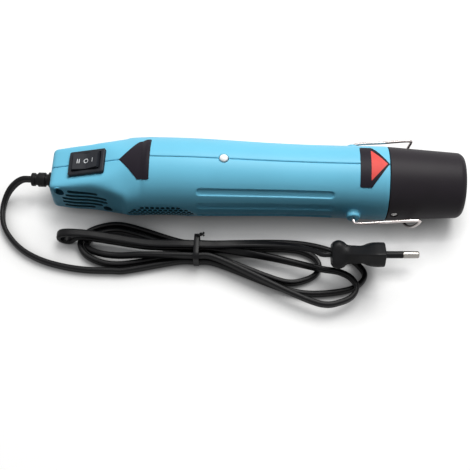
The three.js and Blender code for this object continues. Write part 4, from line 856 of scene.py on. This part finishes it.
    def cutters(self, side: int, repeater: Repeater, blue: Material) -> list[Piece]:
        """Returns every cutter of one half."""
        form = self.form
        top = form.barrel(LAMP_X) - form.sag(LAMP_X)
        bore, rim = self.lamp_well
        ring = ((10.0, 0.0), (10.0, bore), (top - 0.5, bore), (top + 1.0, rim), (top + 3.0, rim), (top + 3.0, 0.0))
        long, wide = self.switch_window
        window = rounded_box((-long, -wide), (long, wide), 0.5)
        shapes = [
            self.vents(side),
            Form.turned(ring, 40).moved(UPWARDS),
            Form.rod(*self.gland_cut, 40).moved(AT_GLAND),
            Form.prism(window, -8.0, 6.0).moved(form.panel_frame(SWITCH_X)),
            Form.turned([(19.9, 0.0), (19.9, self.boss_hole), (23.8, self.boss_hole), (24.6, 1.9), (24.6, 0.0)],
                        24).moved(self.across(BAIL_X, 0.0, side)),
        ]
        if side < 0:
            well = Form.rod(self.screw_seat, OUTSIDE, self.well_radius)
            shapes += [well.moved(self.across(x, height, side)) for x, height in self.screws]
        made = [shape.piece(f"cutter_{i}") for i, shape in enumerate(shapes)]
        hole = Form.rod(0.0, self.grille_cut[1], self.grille_hole, 12)
        return made + [repeater.piece("grille_cutter", hole, self.grille_places(side), blue)]

    def mark_recess_shade(self, half: Piece) -> None:
        """Marks the faces of a half that lie below its skin, as in the slots, holes, wells and the inner wall, where
        the blue finish paints shade by darkening them.
        """
        marks = []
        for face in half.data.polygons:
            x, y, z = face.center / MM
            height = z - AXIS_Z + self.form.sag(x)
            angle = math.atan2(height, abs(y))
            depth = self.form.reach(x, angle, 0.0) - self.groove(x, angle) - math.hypot(y, height)
            below = depth > (self.recess_depth if abs(y) > self.seam_half else self.wall / 2)
            marks.append(float(below and self.recess_ends[0] < x < self.recess_ends[1]))
        half.data.attributes.new("recess", "FLOAT", "FACE").data.foreach_set("value", marks)

    def build(self, repeater: Repeater) -> None:
        """Makes both halves and the screws that hold them."""
        blue = Look.BLUE.material
        for side, name in ((1, "left"), (-1, "right")):
            half = self.half(side).piece(f"housing_{name}_shell", blue)
            posts = [self.boss(side)]
            if side < 0:
                for x, height in self.screws:
                    skin = abs(self.form.point(x, math.asin(height / self.form.tail_widths[0])).y)
                    post = Form.rod(self.screw_post[0], skin - self.post_sink, self.screw_post[1])
                    posts.append(post.moved(self.across(x, height, side)))
            carve(half, [post.piece(f"post_{i}") for i, post in enumerate(posts)], "UNION")
            carve(half, self.cutters(side, repeater, blue))
            # the recess marks carry the painted shade of the blue finish
            self.mark_recess_shade(half)
            dress(shaded(half, 32.0), "housing", "blue_plastic", f"housing_{name}")
        places = [(Vector((x, -self.screw_seat - 0.1, AXIS_Z + height)), Vector((0.0, -1.0, 0.0)))
                  for x, height in self.screws]
        screws = repeater.piece("housing_fixings", Screw().form(), places, Look.STEEL.material)
        dress(screws, "housing", "steel", "housing_screw_1", "housing_screw_2")


@dataclass(frozen=True)
class Screw:
    """A small pan head with a cross recess, its head along +X."""

    radius: float = 2.45
    height: float = 1.2
    slot: float = 0.7
    slot_reach: float = 1.5
    slot_depth: float = 0.7
    crown: float = 0.3
    sides: int = 48

    def form(self) -> Form:
        """Returns the head as a fan of facets whose recess is pressed in."""
        rings = []
        for share in (1.0, 1.0, 0.94, 0.82, 0.64, 0.46, 0.3, 0.18, 0.06):
            dome = self.height * (1.0 - self.crown * share ** 3) if rings else 0.0
            ring = []
            for u, v in circle(self.radius * share, self.sides):
                inside = min(abs(u), abs(v)) < self.slot / 2 and max(abs(u), abs(v)) < self.slot_reach
                ring.append(Vector((dome - (self.slot_depth if rings and inside else 0.0), u, v)))
            rings.append(ring)
        return Form.loft(rings)


@dataclass(frozen=True)
class Nozzle:
    """The black guard around the heater, with its screws."""

    rear: float = 76.0
    front: float = 120.0
    rear_radius: float = 21.4
    tip_radius: float = 18.9
    edge: float = 2.2
    mouth: float = 13.4
    lip: float = 2.5
    sleeve: Pair = (88.3, 18.9)
    bore: float = 16.6
    screw_x: float = 80.0
    screw_angles: tuple[float, ...] = (180.0, 0.0)
    well_radius: float = 2.2

    def out(self, angle: float) -> Matrix:
        """Returns a frame at the screws whose X points outwards at an angle."""
        place = Matrix.Translation((self.screw_x, 0.0, AXIS_Z)) @ Matrix.Rotation(math.radians(angle), 4, "X")
        return place @ Matrix.Rotation(math.pi / 2, 4, "Z")

    def build(self, repeater: Repeater) -> None:
        """Makes the guard and its screws."""
        line = rounded((
            (self.rear, self.rear_radius, 0.5), (self.front - self.edge, self.tip_radius + 0.1, 1.6),
            (self.front, self.tip_radius - self.edge * 0.9, 1.0), (self.front, self.mouth, 0.6),
            (self.front - self.lip, self.mouth, 0.4), (self.front - self.lip, self.bore, 0.4),
            (self.sleeve[0] + 3.0, self.bore + 0.6, 0.4), (self.sleeve[0], self.sleeve[1], 0.4),
            (self.rear, self.sleeve[1], 0.3)), True)
        guard = Form.turned(line, 128).moved(ON_AXIS)
        shell = guard.piece("nozzle_shell", Look.NOZZLE.material)
        seat = self.rear_radius - 1.6
        well = Form.rod(seat, OUTSIDE, self.well_radius)
        carve(shell, [well.moved(self.out(angle)).piece(f"well_{angle:.0f}") for angle in self.screw_angles])
        dress(shaded(shell, 30.0), "housing", "black_plastic", "nozzle_guard")
        places = [(self.out(angle) @ Vector((seat, 0.0, 0.0)),
                   (self.out(angle).to_3x3() @ Vector((1.0, 0.0, 0.0))).normalized()) for angle in self.screw_angles]
        head = Screw(radius=1.8, height=0.9, slot=0.6, slot_reach=1.2)
        screws = repeater.piece("nozzle_fixings", head.form(), places, Look.STEEL.material)
        dress(screws, "housing", "steel", "nozzle_screw_1", "nozzle_screw_2")


@dataclass(frozen=True)
class Winding:
    """The heating coil as a round wire."""

    radius: float = 12.9
    wire: float = 0.5
    turns: float = 9.0
    turn_steps: int = 48
    sides: int = 10
    start: float = 69.0
    end: float = 106.0

    def build(self) -> None:
        """Makes the coil with a tree of its own."""
        sizes = {"Turns": self.turns, "Radius": self.radius * MM, "Length": (self.end - self.start) * MM,
                 "Wire": self.wire * MM}
        tool = NodeTool("wind_coil", {name: "Float" for name in sizes})
        given = tool.given
        helix = tool.node("GeometryNodeCurveSpiral", None, {
            "Resolution": self.turn_steps, "Rotations": given["Turns"], "Start Radius": given["Radius"],
            "End Radius": given["Radius"], "Height": given["Length"]})
        section = tool.node("GeometryNodeCurvePrimitiveCircle", None, {
            "Resolution": self.sides, "Radius": given["Wire"]})
        wire = tool.node("GeometryNodeCurveToMesh", None, {
            "Curve": helix.outputs[0], "Profile Curve": section.outputs[0], "Fill Caps": True})
        tool.close(tool.node("GeometryNodeTransform", None, {
            "Geometry": wire.outputs[0], "Translation": (self.start * MM, 0.0, AXIS_Z * MM),
            "Rotation": (0.0, math.pi / 2, 0.0)}))
        coil = Form([Vector()], []).piece("heater_winding")
        tool.run(coil, {**sizes, "Finish": Look.HEATER.material})
        dress(shaded(coil, 60.0), "housing", "heater_wire", "heating_coil")


@dataclass(frozen=True)
class Bail:
    """The bent wire stand."""

    wire: float = 0.9
    reach: float = 36.3
    skew: float = 1.3
    rise: float = 6.4
    lean: float = 6.5
    leg: float = 26.65
    shift: float = 0.75
    drop: float = 29.5

    def tip(self, side: float) -> float:
        """Returns how far the wire reaches from its pivot on one side."""
        return self.reach - self.skew * side

    def leg_line(self, side: int) -> list[Triple]:
        """Returns the points of one leg, from its pivot to the tip."""
        x, leg, tip = BAIL_X, self.leg - side * self.shift, self.tip(side)
        points = [(x, 20.2, 0.0), (x, leg - 2.6, 0.0), (x + 0.78, leg - 0.78, 0.0)]
        points += [(x + way, leg, self.rise * way / tip) for way in (2.6, tip / 2, tip - 1.6)]
        points.append((x + tip - 0.48, leg, self.rise - 0.8))
        return [(along, side * across, up) for along, across, up in points]

    def build(self) -> None:
        """Makes the wire."""
        arch = []
        for degrees in (-75, -55, -35, -17, 0, 17, 35, 55, 75):
            side, down = math.sin(math.radians(degrees)), math.cos(math.radians(degrees))
            arch.append((BAIL_X + self.tip(side) - self.lean * down, self.leg * side - self.shift,
                         self.rise - self.drop * down))
        line = smooth_line([*self.leg_line(-1), *arch, *self.leg_line(1)[::-1]], 0.5)
        bow = Form.swept(line, circle(self.wire, 16)).moved(ON_AXIS).piece("bail_bow", Look.BAIL.material, 50.0)
        dress(bow, "bail", "bail_steel", "bail_wire")


@dataclass(frozen=True)
class Switch:
    """The rocker switch in its bezel."""

    form: HousingForm = HousingForm()
    bezel: Triple = (22.2, 15.6, 1.9)
    lift: float = 0.3
    body: Triple = (19.0, 13.0, 13.0)
    edge: float = 0.7
    window: Pair = (17.6, 11.2)
    window_floor: float = -9.0
    rocker_radius: float = 8.4
    rocker_half_width: float = 5.2
    rocker_corner: float = 25.0
    rocker_dish: float = 1.5
    rocker_bend: float = 1.0
    rocker_floor: float = -5.6
    pivot: float = 0.6
    mark_places: tuple[float, ...] = (-4.4, 0.2, 4.3)
    mark_height: float = 2.8
    mark_stroke: float = 0.36

    def frame_form(self) -> Form:
        """Returns the bezel, its window and the body below the panel."""
        top = self.lift + self.bezel[2]
        levels = ((-self.body[2], self.body, 0.4), (0.0, self.body, 0.4), (self.lift, self.body, 0.4),
                  (self.lift, self.bezel, 1.2), (top - self.edge, self.bezel, 1.2))
        rings = [self.loop(size[0], size[1], corner, height) for height, size, corner in levels]
        for turn in (math.radians(degrees) for degrees in (30.0, 60.0, 90.0)):
            shrink = self.edge * (1.0 - math.cos(turn))
            height = top - self.edge + self.edge * math.sin(turn)
            rings.append(self.loop(self.bezel[0] - 2 * shrink, self.bezel[1] - 2 * shrink, 1.0, height))
        rings += [self.loop(self.window[0] + 0.5, self.window[1] + 0.5, 0.6, top),
                  self.loop(*self.window, 0.5, top - 0.3), self.loop(*self.window, 0.5, self.window_floor)]
        return Form.loft(rings)

    def loop(self, length: float, width: float, corner: float, height: float) -> list[Vector]:
        """Returns a rounded rectangle at a height over the panel."""
        end = length / 2, width / 2
        return [Vector((x, y, height)) for x, y in rounded_box((-end[0], -end[1]), end, corner, 4)]

    def top(self, along: float) -> float:
        """Returns the height of the rocker's dished top over its pivot."""
        reach = self.rocker_radius * math.cos(math.radians(self.rocker_corner))
        ends = self.rocker_radius * math.sin(math.radians(self.rocker_corner))
        bend = self.rocker_bend
        share = (math.hypot(along, bend) - bend) / (math.hypot(reach, bend) - bend)
        return ends - self.rocker_dish * (1.0 - share)

    def rocker_form(self) -> Form:
        """Returns the rocker about its pivot."""
        corner = self.rocker_corner
        line = []
        for degrees in spread(-corner, -180.0 + corner, 8.0):
            turn = math.radians(mix(corner, -180.0 - corner, (degrees + corner) / (-180.0 + 2 * corner)))
            height = max(self.rocker_radius * math.sin(turn), self.rocker_floor)
            line.append((self.rocker_radius * math.cos(turn), height))
        reach = self.rocker_radius * math.cos(math.radians(corner))
        line += [(along, self.top(along)) for along in spread(-reach, reach, 0.6)[1:-1]]
        half = self.rocker_half_width
        return Form.loft([[Vector((x, side * half, z)) for x, z in line] for side in (-1, 1)])

    def marks(self) -> Form:
        """Returns the raised marks of the three positions."""
        half, stroke = self.mark_height / 2, self.mark_stroke
        first, middle, last = self.mark_places
        made = Form([], [])
        for along in (first - 0.55, first + 0.55, last):
            bar = [(along - stroke / 2, -half), (along + stroke / 2, -half), (along + stroke / 2, half),
                   (along - stroke / 2, half)]
            made += self.draped(Form.prism(bar, -0.06, 0.05))
        rings = []
        for u, v in circle(1.0, 32):
            rings.append([Vector((middle + u * radius, v * radius, height))
                          for radius, height in ((half, -0.06), (half, 0.05), (half - stroke, 0.05),
                                                 (half - stroke, -0.06))])
        return made + self.draped(Form.loft(rings, looped=True))

    def draped(self, form: Form) -> Form:
        """Returns a flat form laid on the rocker's top."""
        return Form([Vector((c.x, c.y, c.z + self.top(c.x))) for c in form.corners], form.faces)

    def build(self) -> None:
        """Makes the frame, the rocker and its marks."""
        place = self.form.panel_frame(SWITCH_X)
        frame = self.frame_form().moved(place).piece("switch_frame", Look.SWITCH.material, 40.0)
        dress(frame, "housing", "switch_black", "switch_body")
        turning = place @ Matrix.Translation((0.0, 0.0, self.pivot))
        cap = self.rocker_form().moved(turning).piece("rocker_cap", Look.SWITCH.material, 40.0)
        softened(cap, 0.35, 50.0)
        dress(cap, "rocker", "switch_black", "switch_rocker")
        marks = self.marks().moved(turning).piece("rocker_marks", Look.MARK.material)
        dress(marks, "rocker", "white_plastic")


@dataclass(frozen=True)
class Sticker:
    """A thin blank film with an arrow outline on top of the housing."""

    name: str
    node: str
    slot: str
    look: Look
    tip: float
    shoulder: float
    end: float
    half: float
    lift: float = 0.05
    thick: float = 0.2
    round_off: float = 1.2
    far_bulge: float = 0.0
    least: float = 0.004
    steps: int = 24

    def half_angle(self, x: float) -> float:
        """Returns half the angle that the film spans at a station."""
        way = (x - self.tip) / (self.shoulder - self.tip)
        share = min(max(way, 0.0), 1.0)
        corner = min(abs(self.end - x) / self.round_off, 1.0)
        shrink = 0.05 * (1.0 - math.sqrt(max(0.0, 1.0 - (1.0 - corner) ** 2)))
        blunt = 0.02 * math.sqrt(min(abs(x - self.tip) / 0.6, 1.0))
        return math.radians(self.half * (max(share, blunt) - shrink * share))

    def build(self, form: HousingForm) -> None:
        """Makes the film."""
        stations = spread(self.tip, self.shoulder, 0.5)[:-1]
        stations += spread(self.shoulder, self.end, 0.15 if abs(self.end - self.shoulder) < 2 else 0.4)
        rings = []
        for x in stations:
            near = max(self.half_angle(x), self.least)
            way = min((x - self.tip) / (self.shoulder - self.tip), 1.0)
            far = near + math.radians(self.far_bulge * BULGE_SCALE * way ** 3 * (1.0 - way))
            angles = [math.pi / 2 + mix(near, -far, k / self.steps) for k in range(self.steps + 1)]
            upper = [form.point(x, angle, -self.lift - self.thick) for angle in angles]
            lower = [form.point(x, angle, -self.lift) for angle in angles[::-1]]
            rings.append(upper + lower)
        film = Form.loft(rings).piece(self.name, self.look.material, 40.0)
        dress(film, "housing", self.slot, self.node)


def build_lamp(form: HousingForm) -> None:
    """Makes the domed lens of the pilot lamp."""
    foot, radius, proud = 13.1, 2.5, 1.3
    rim = form.barrel(LAMP_X) - form.sag(LAMP_X)
    dome = [(rim + proud * math.sin(turn), radius * math.cos(turn)) for turn in
            (math.pi / 2 * k / 10 for k in range(10))]
    line = [(foot, 0.0), (foot, radius), (rim - 0.2, radius), *dome, (rim + proud, 0.0)]
    lens = Form.turned(line, 48).moved(UPWARDS).piece("lamp_dome", Look.LENS.material)
    dress(lens, "housing", "lamp_lens", "indicator_lens")


@dataclass(frozen=True)
class FlatCord:
    """The flat twin cord: a lead from the tool, a tied hank and a tail to the plug."""

    thick: float = 3.0
    wide: float = 4.9
    collars: tuple[Triple, ...] = ((-120.3, -123.6, 4.6), (-125.4, -130.0, 4.3),
                                                       (-131.6, -134.0, 4.0))
    groove: float = 3.4
    bore: float = 2.8
    tie_x: float = -33.4
    tie_lift: float = 1.2
    tie_run: float = 8.0
    tie_half: float = 1.6
    tie_edges: Outline = ((-0.85, -1), (0.85, -1), (1, -0.5), (1, 0.5), (0.85, 1), (-0.85, 1), (-1, 0.5), (-1, -0.5))

    @property
    def layers(self) -> tuple[float, float, float, float]:
        """Heights of the cord's centre: standing in two layers, then flat on each of them."""
        first = self.wide / 2 + 0.15
        flat = self.wide + self.thick / 2 + 0.6
        return first, first + self.wide + 0.45, flat, flat + self.thick + 0.45

    def passage(self, y: float, z: float, way: int, tilt: float = 0.0) -> list[tuple[float, ...]]:
        """Returns the straight run of one strand through the tie."""
        return [(self.tie_x + way * d, y, z + self.tie_lift, tilt) for d in (-self.tie_run, 0.0, self.tie_run)]

    @staticmethod
    def bight(x: float, y: float, reach: float, half: float, start: float, end: float,
              slope: float = 0.0) -> list[tuple[float, ...]]:
        """Returns the points of one end loop of the hank."""
        points = []
        for degrees in range(-90, 91, 30):
            c, s = math.cos(math.radians(degrees)), math.sin(math.radians(degrees))
            points.append((x + reach * c, y + half * s + slope * reach * c, mix(end, start, max(0.0, -s)), 0.0))
        return points

    def way(self) -> list[tuple[float, ...]]:
        """Returns the points, each with the tilt from standing on edge, from the tool to the plug."""
        low, high, flat, top = self.layers
        lead = [(-120, 0, GLAND_Z), (-127, 0, GLAND_Z), (-134.3, 0, GLAND_Z), (-139.5, 0, 14.9), (-144.5, -1.4, 11.6),
                (-148.6, -4.2, 7.4), (-151.2, -9.4, 4.2), (-151.8, -16.5, low), (-149.6, -25.5, low),
                (-144, -34, low), (-136, -41.3, low), (-125, -47, low), (-112, -50.6, low), (-98, -52.4, low),
                (-82, -52.4, low), (-77.1, -52.4, low)]
        fold = []
        for degrees in (-70, -110, -150, -190, -230, -270):
            turn = math.radians(degrees)
            fold.append((-110.5 + 4.7 * math.cos(turn), -32.8, 6.4 + 4.7 * math.sin(turn), 90.0))
        return [
            *[(*point, 0.0) for point in lead],
            *self.passage(-45.2, low, 1), *self.bight(25, -46.5, 40, 15.6, low, low, -0.09),
            *self.passage(-33.2, low, -1), *self.bight(-80, -35.3, -23, 13, low, low)[::-1],
            *self.passage(-41.2, low, 1), *self.bight(20, -45.4, 18.5, 10.7, low, low),
            *self.passage(-37.2, low, -1), *self.bight(-80, -35.3, -19, 9, low + 3.8, low)[::-1],
            (-64, -44.2, high + 0.6, 0.0),
            *self.passage(-44, high, 1), *self.bight(40, -60.4, 19.5, 11, high, high), (8, -42.6, high, 20.0),
            *self.passage(-37.8, flat, -1, 90.0), (-62, -37.6, flat, 90.0), (-86, -34.6, flat, 90.0),
            (-98, -33.2, flat + 0.4, 90.0), (-104.6, -32.8, flat - 0.3, 90.0), *fold,
            (-98, -33.2, top + 0.8, 90.0), (-84, -34.6, top + 0.2, 90.0), (-62, -37.4, top, 90.0),
            *self.passage(-37.8, top, 1, 90.0), (-19, -37.6, top + self.tie_lift + 0.3, 90.0),
            (-8, -36.9, 11.9, 100.0), (8, -36.9, 12.4, 115.0), (24, -39, 14.9, 135.0), (34.4, -43.4, 19.2, 153.5),
            (39.1, -46.5, 21.4, 153.5), (43.7, -46.4, 21.6, 153.5)]

    def section(self) -> Outline:
        """Returns the outline: a flat band with round edges and a faint hollow between its cores."""
        line = []
        for i in range(24):
            c, s = math.cos(TAU * i / 24), math.sin(TAU * i / 24)
            across = math.copysign(abs(c) ** 0.6, c) * self.wide / 2
            up = math.copysign(abs(s) ** 0.6, s) * self.thick / 2
            line.append((across, up * (1.0 - 0.1 * math.exp(-(across / 0.7) ** 2))))
        return line

    def build(self) -> tuple[Piece, list[Vector]]:
        """Makes the cord.

        Returns:
            The cord and its centreline.
        """
        line = smooth_line(self.way(), 1.0)
        rings = []
        for i, point in enumerate(line):
            ahead = (line[min(i + 1, len(line) - 1)] - line[max(i - 1, 0)]).to_3d().normalized()
            tilt = math.radians(point[3])
            across = Vector((0.0, math.sin(tilt), math.cos(tilt)))
            across = (across - ahead * across.dot(ahead)).normalized()
            up = ahead.cross(across)
            rings.append([point.to_3d() + across * u + up * v for u, v in self.section()])
        cord = Form.loft(rings).piece("cord_run", Look.CORD.material, 60.0)
        dress(cord, "housing", "cord_black", "cord_lead", "cord_hank", "cord_tail")
        return cord, [point.to_3d() for point in line]

    def build_relief(self) -> Piece:
        """Makes the ribbed strain relief."""
        corners = [(-116.1, self.bore, 0), (-116.1, 5.0, 0.3), (-117.7, 5.0, 0.3), (-117.7, 3.6, 0.2)]
        for start, end, radius in self.collars:
            corners += [(start, self.groove, 0.3), (start, radius, 0.7), (end, radius, 0.7), (end, self.groove, 0.3)]
        corners = [*corners[:-1], (self.collars[-1][1], self.bore, 0.4)]
        line = rounded(corners, True, 5)
        form = Form.turned(line, 48).moved(AT_GLAND)
        relief = form.piece("strain_boot", Look.CORD.material)
        return dress(relief, "housing", "cord_black", "strain_relief")

    def build_tie(self) -> Piece:
        """Makes the twist tie around the hank."""
        middle, half, low, high, thick = -39.2, 7.8, 0.9, 13.45, 0.7
        loop = rounded_box((middle - half, low), (middle + half, high), 3.4, 8)
        rings = []
        for i, (y, z) in enumerate(loop):
            back, ahead = Vector(loop[i - 1]), Vector(loop[(i + 1) % len(loop)])
            run = (ahead - back).normalized()
            out = Vector((0.0, run.y, -run.x))
            centre = Vector((self.tie_x, y, z)) + out * (thick / 2)
            rings.append([centre + out * (thick / 2 * v) + Vector((self.tie_half * u, 0.0, 0.0))
                          for u, v in self.tie_edges])
        tie = Form.loft(rings, looped=True)
        knot = (self.tie_x, -33.6, high + 1.0)
        for side in (-1, 1):
            twist = []
            for k in range(9):
                turn = math.pi * 1.2 * k / 8
                twist.append((knot[0] + 0.3 * k, knot[1] + 0.5 * side * math.cos(turn) + 0.1 * k,
                              knot[2] + 0.5 * side * math.sin(turn) + 0.06 * k))
            x, y, z = twist[-1]
            twist += [(x + 1.0, y + 0.7 * side, z + 0.3 + 0.2 * side), (x + 1.8, y + 1.5 * side, z + 0.3 + 0.4 * side)]
            tie += Form.swept(smooth_line(twist, 0.3), circle(0.62, 10))
        piece = tie.piece("tie_wire", Look.TIE.material, 50.0)
        return dress(piece, "housing", "tie_black", "cord_tie")


@dataclass(frozen=True)
class Plug:
    """The flat two-pin plug, along its own +X from the cord."""

    back: Triple = (44.0, -46.4, 21.6)
    yaw: float = 2.0
    tip_over: float = 26.5
    sections: tuple[Triple, ...] = (
        (0, 5.8, 6.2), (1.2, 7.2, 7), (3.8, 8.2, 7.4), (6.6, 7.4, 8), (8.6, 5.8, 9.2), (12, 5.4, 11.4), (18, 5.4, 15),
        (21.4, 6.6, 16.6), (24, 7.2, 17.4), (27.8, 7.2, 17.4), (28.7, 7.1, 17.3), (29, 6.7, 16.9))
    power: float = 4.0
    flank: float = 0.97
    slant: float = 0.433
    ridge_ends: Pair = (3.0, 10.0)
    ridge_round: float = 0.05
    ridge_power: float = 16.0
    pin_radius: float = 2.0
    pin_core: float = 1.3
    pin_length: float = 19.0
    pin_pitch: float = 19.0
    sleeve: float = 10.0

    @property
    def frame(self) -> Matrix:
        """The plug's frame in the tool's."""
        turn = Matrix.Rotation(math.radians(self.yaw), 4, "Z")
        return Matrix.Translation(self.back) @ turn @ Matrix.Rotation(math.radians(self.tip_over), 4, "X")

    def body(self) -> Form:
        """Returns the moulded body, smooth between its sections."""
        return Form.loft([
            [Vector((x, u * self.reach(x, u, v) * thick, v * self.reach(x, u, v) * wide)) for u, v in circle(1.0, 96)]
            for x, thick, wide in smooth_line(self.sections, 0.5)])

    def reach(self, x: float, u: float, v: float) -> float:
        """Returns how far the section reaches in a direction: round at the cord, six-sided at the pins."""
        soft = (u ** self.power + v ** self.power) ** (-1.0 / self.power)
        across = math.hypot(u, self.ridge_round)
        sharp = self.ridge_power
        ridged = ((across / self.flank) ** sharp + (abs(v) + self.slant * across) ** sharp) ** (-1.0 / sharp)
        return mix(soft, ridged, ease(x, *self.ridge_ends))

    def build(self) -> list[Piece]:
        """Makes the body, the pins and their sleeves."""
        face = self.sections[-1][0]
        body = self.body().moved(self.frame).piece("plug_shell", Look.PLUG.material, 40.0)
        made = [dress(body, "housing", "plug_black", "plug_body")]
        root, bare, tip = face - 0.1, face + self.sleeve + 0.3, face + self.pin_length
        pin = rounded(((root, 0.0, 0), (root, self.pin_core, 0), (bare, self.pin_core, 0),
                       (bare, self.pin_radius, 0.2), (tip, self.pin_radius, 1.9), (tip, 0.0, 0)))
        start, end, bore, skin = face + 0.05, face + self.sleeve, self.pin_core + 0.1, self.pin_radius - 0.03
        collar = rounded(((start, bore, 0), (start, skin, 0.2), (end, skin, 0.2), (end, bore, 0)), True)
        for number, side in ((1, -1), (2, 1)):
            place = self.frame @ Matrix.Translation((0.0, 0.0, side * self.pin_pitch / 2))
            contact = Form.turned(pin, 32).moved(place).piece(f"plug_contact_{number}", Look.PIN.material)
            made.append(dress(contact, "housing", "pin_metal", f"plug_pin_{number}"))
            cover = Form.turned(collar, 32).moved(place).piece(f"plug_collar_{number}", Look.PLUG.material)
            made.append(dress(cover, "housing", "plug_black", f"plug_sleeve_{number}"))
        return made


@dataclass(frozen=True)
class Studio:
    """The white table, the lights and the camera of the photograph."""

    camera: Triple = (-0.00154, -0.29309, 0.5222)
    target: Triple = (-0.0111, -0.0373, 0.0241)
    lens: float = 75.2
    sensor: float = 36.0
    floor_size: float = 6.0
    floor_level: float = -0.0002
    # floor_glow is the share of the glow that the painted contact shadow dims
    floor_glow: float = 0.6
    painted_shadow_reach: float = 0.016
    floor_fade: Pair = (0.24, 0.9)
    floor_tone: float = 0.45
    floor_bounce: float = 0.15
    sky_strength: float = 0.08
    sky_tint: Triple = (0.93, 0.97, 1.0)
    lights: tuple[tuple[str, Triple, float, float, Triple], ...] = (
        ("overhead", (0.2, 0.48, 1.05), 17.5, 0.7, (1.0, 0.99, 0.97)),
        ("side_fill", (-0.9, 0.1, 0.75), 0.3, 0.6, (0.95, 0.98, 1.0)))

    def floor(self) -> None:
        """Lays a white floor that the camera sees as plain white outside the shadows; its glow dims by ambient
        occlusion near the tool, a painted contact shadow, and rises with distance from the middle.
        """
        shader = Shader("studio_floor")
        cloud = shader.noise(60.0, 2.0)
        paint, bounce = (shader.node("ShaderNodeBsdfDiffuse", None, {
            "Color": shader.blend(cloud, (0.97 * tone, 0.98 * tone, 0.99 * tone), (tone, tone, tone))})
            for tone in (self.floor_tone, self.floor_bounce))
        # painted contact shadow: the glow falls with the square of the occlusion close to the tool
        painted_shadow_ao = shader.node("ShaderNodeAmbientOcclusion", {"samples": 16}, {"Distance": self.painted_shadow_reach})
        clear = Value(shader, painted_shadow_ao.outputs["AO"])
        spot = shader.node("ShaderNodeVectorMath", {"operation": "LENGTH"}, {0: shader.place})
        away = Value(shader, spot.outputs["Value"]).step(*self.floor_fade)
        strength = clear * clear * self.floor_glow + away * (1.0 - self.floor_glow)
        glow = shader.node("ShaderNodeEmission", None, {"Color": (1.0, 1.0, 1.0, 1.0), "Strength": strength})
        both = shader.node("ShaderNodeAddShader", None, {0: paint.outputs[0], 1: glow.outputs[0]})
        shown = shader.node("ShaderNodeMixShader", None, {
            0: self.seen(shader), 1: bounce.outputs[0], 2: both.outputs[0]})
        shader.node("ShaderNodeOutputMaterial", None, {"Surface": shown.outputs[0]})
        half, level = self.floor_size / 2 / MM, self.floor_level / MM
        corners = [Vector((x * half, y * half, level)) for x, y in ((-1, -1), (1, -1), (1, 1), (-1, 1))]
        Form(corners, [(0, 1, 2, 3)]).piece("studio_floor", shader.material)

    @staticmethod
    def seen(graph: Graph) -> Value:
        """Returns 1 for rays that show the background, straight, in a mirror or through glass."""
        rays = graph.node("ShaderNodeLightPath").outputs
        return sum(Value(graph, rays[name]) for name in ("Is Camera Ray", "Is Glossy Ray", "Is Transmission Ray"))

    def sky(self) -> bpy.types.World:
        """Returns a world that looks white and lights the tool softly."""
        world = bpy.data.worlds.new("studio_world")
        world.use_nodes = True
        graph = Graph(world.node_tree)
        graph.tree.nodes.clear()
        lit, shown = (graph.node("ShaderNodeBackground", None, {"Color": (*tint, 1.0), "Strength": strength})
                      for tint, strength in ((self.sky_tint, self.sky_strength), ((1.0, 1.0, 1.0), 1.0)))
        mixed = graph.node("ShaderNodeMixShader", None, {0: self.seen(graph), 1: lit.outputs[0], 2: shown.outputs[0]})
        graph.node("ShaderNodeOutputWorld", None, {"Surface": mixed.outputs[0]})
        return world

    def hang(self, data: Union[bpy.types.Light, bpy.types.Camera], place: Triple) -> Piece:
        """Sets a light or a camera at a place, facing the tool."""
        hung = bpy.data.objects.new(data.name, data)
        hung.location = place
        hung.rotation_euler = (Vector(self.target) - Vector(place)).to_track_quat("-Z", "Y").to_euler()
        bpy.context.scene.collection.objects.link(hung)
        return hung

    def light(self, name: str, place: Triple, power: float, size: float, colour: Triple) -> None:
        """Hangs a square soft light."""
        lamp = bpy.data.lights.new(name, "AREA")
        lamp.energy, lamp.size, lamp.color = power, size, colour
        self.hang(lamp, place)

    def build(self) -> None:
        """Sets up the whole studio."""
        scene = bpy.context.scene
        self.floor()
        for light in self.lights:
            self.light(*light)
        scene.world = self.sky()
        data = bpy.data.cameras.new("photo_camera")
        data.lens, data.sensor_width, data.clip_start = self.lens, self.sensor, 0.01
        scene.camera = self.hang(data, self.camera)
        scene.view_settings.view_transform = "Standard"


STICKERS = (
    Sticker("rear_film", "rear_sticker", "black_sticker", Look.FILM, -79.2, -68.0, -61.0, 35.0, far_bulge=2.0),
    Sticker("front_film", "front_sticker", "black_sticker", Look.FILM, 75.3, 65.4, 58.8, 37.8),
    Sticker("front_triangle", "red_triangle", "red_print", Look.RED, 74.2, 65.3, 65.0, 26.6, lift=0.26, thick=0.1,
            round_off=0.3),
)


def main() -> None:
    """Builds the looks of the whole tool and its studio."""
    logging.basicConfig(level=logging.INFO, format="%(name)s %(message)s")
    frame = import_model()
    for look, nodes in KEPT_NODES.items():
        for node in nodes:
            materials = frame["nodes"][node].data.materials
            materials.clear()
            materials.append(look.material)
    housing, repeater = Housing(), Repeater()
    Studio().build()
    flex = FlatCord()
    cord, line = flex.build()
    pieces = [flex.build_relief(), flex.build_tie(), *Plug().build()]
    length = sum((b - a).length for a, b in zip(line, line[1:])) * MM
    LOG.info("cord length %.3f m", length)
    line[0] * MM
    [point * MM for point in line]
    housing.build(repeater)
    Nozzle().build(repeater)
    Winding().build()
    Bail().build()
    Switch().build()
    for sticker in STICKERS:
        sticker.build(housing.form)
    build_lamp(housing.form)


if __name__ == "__main__":
    main()
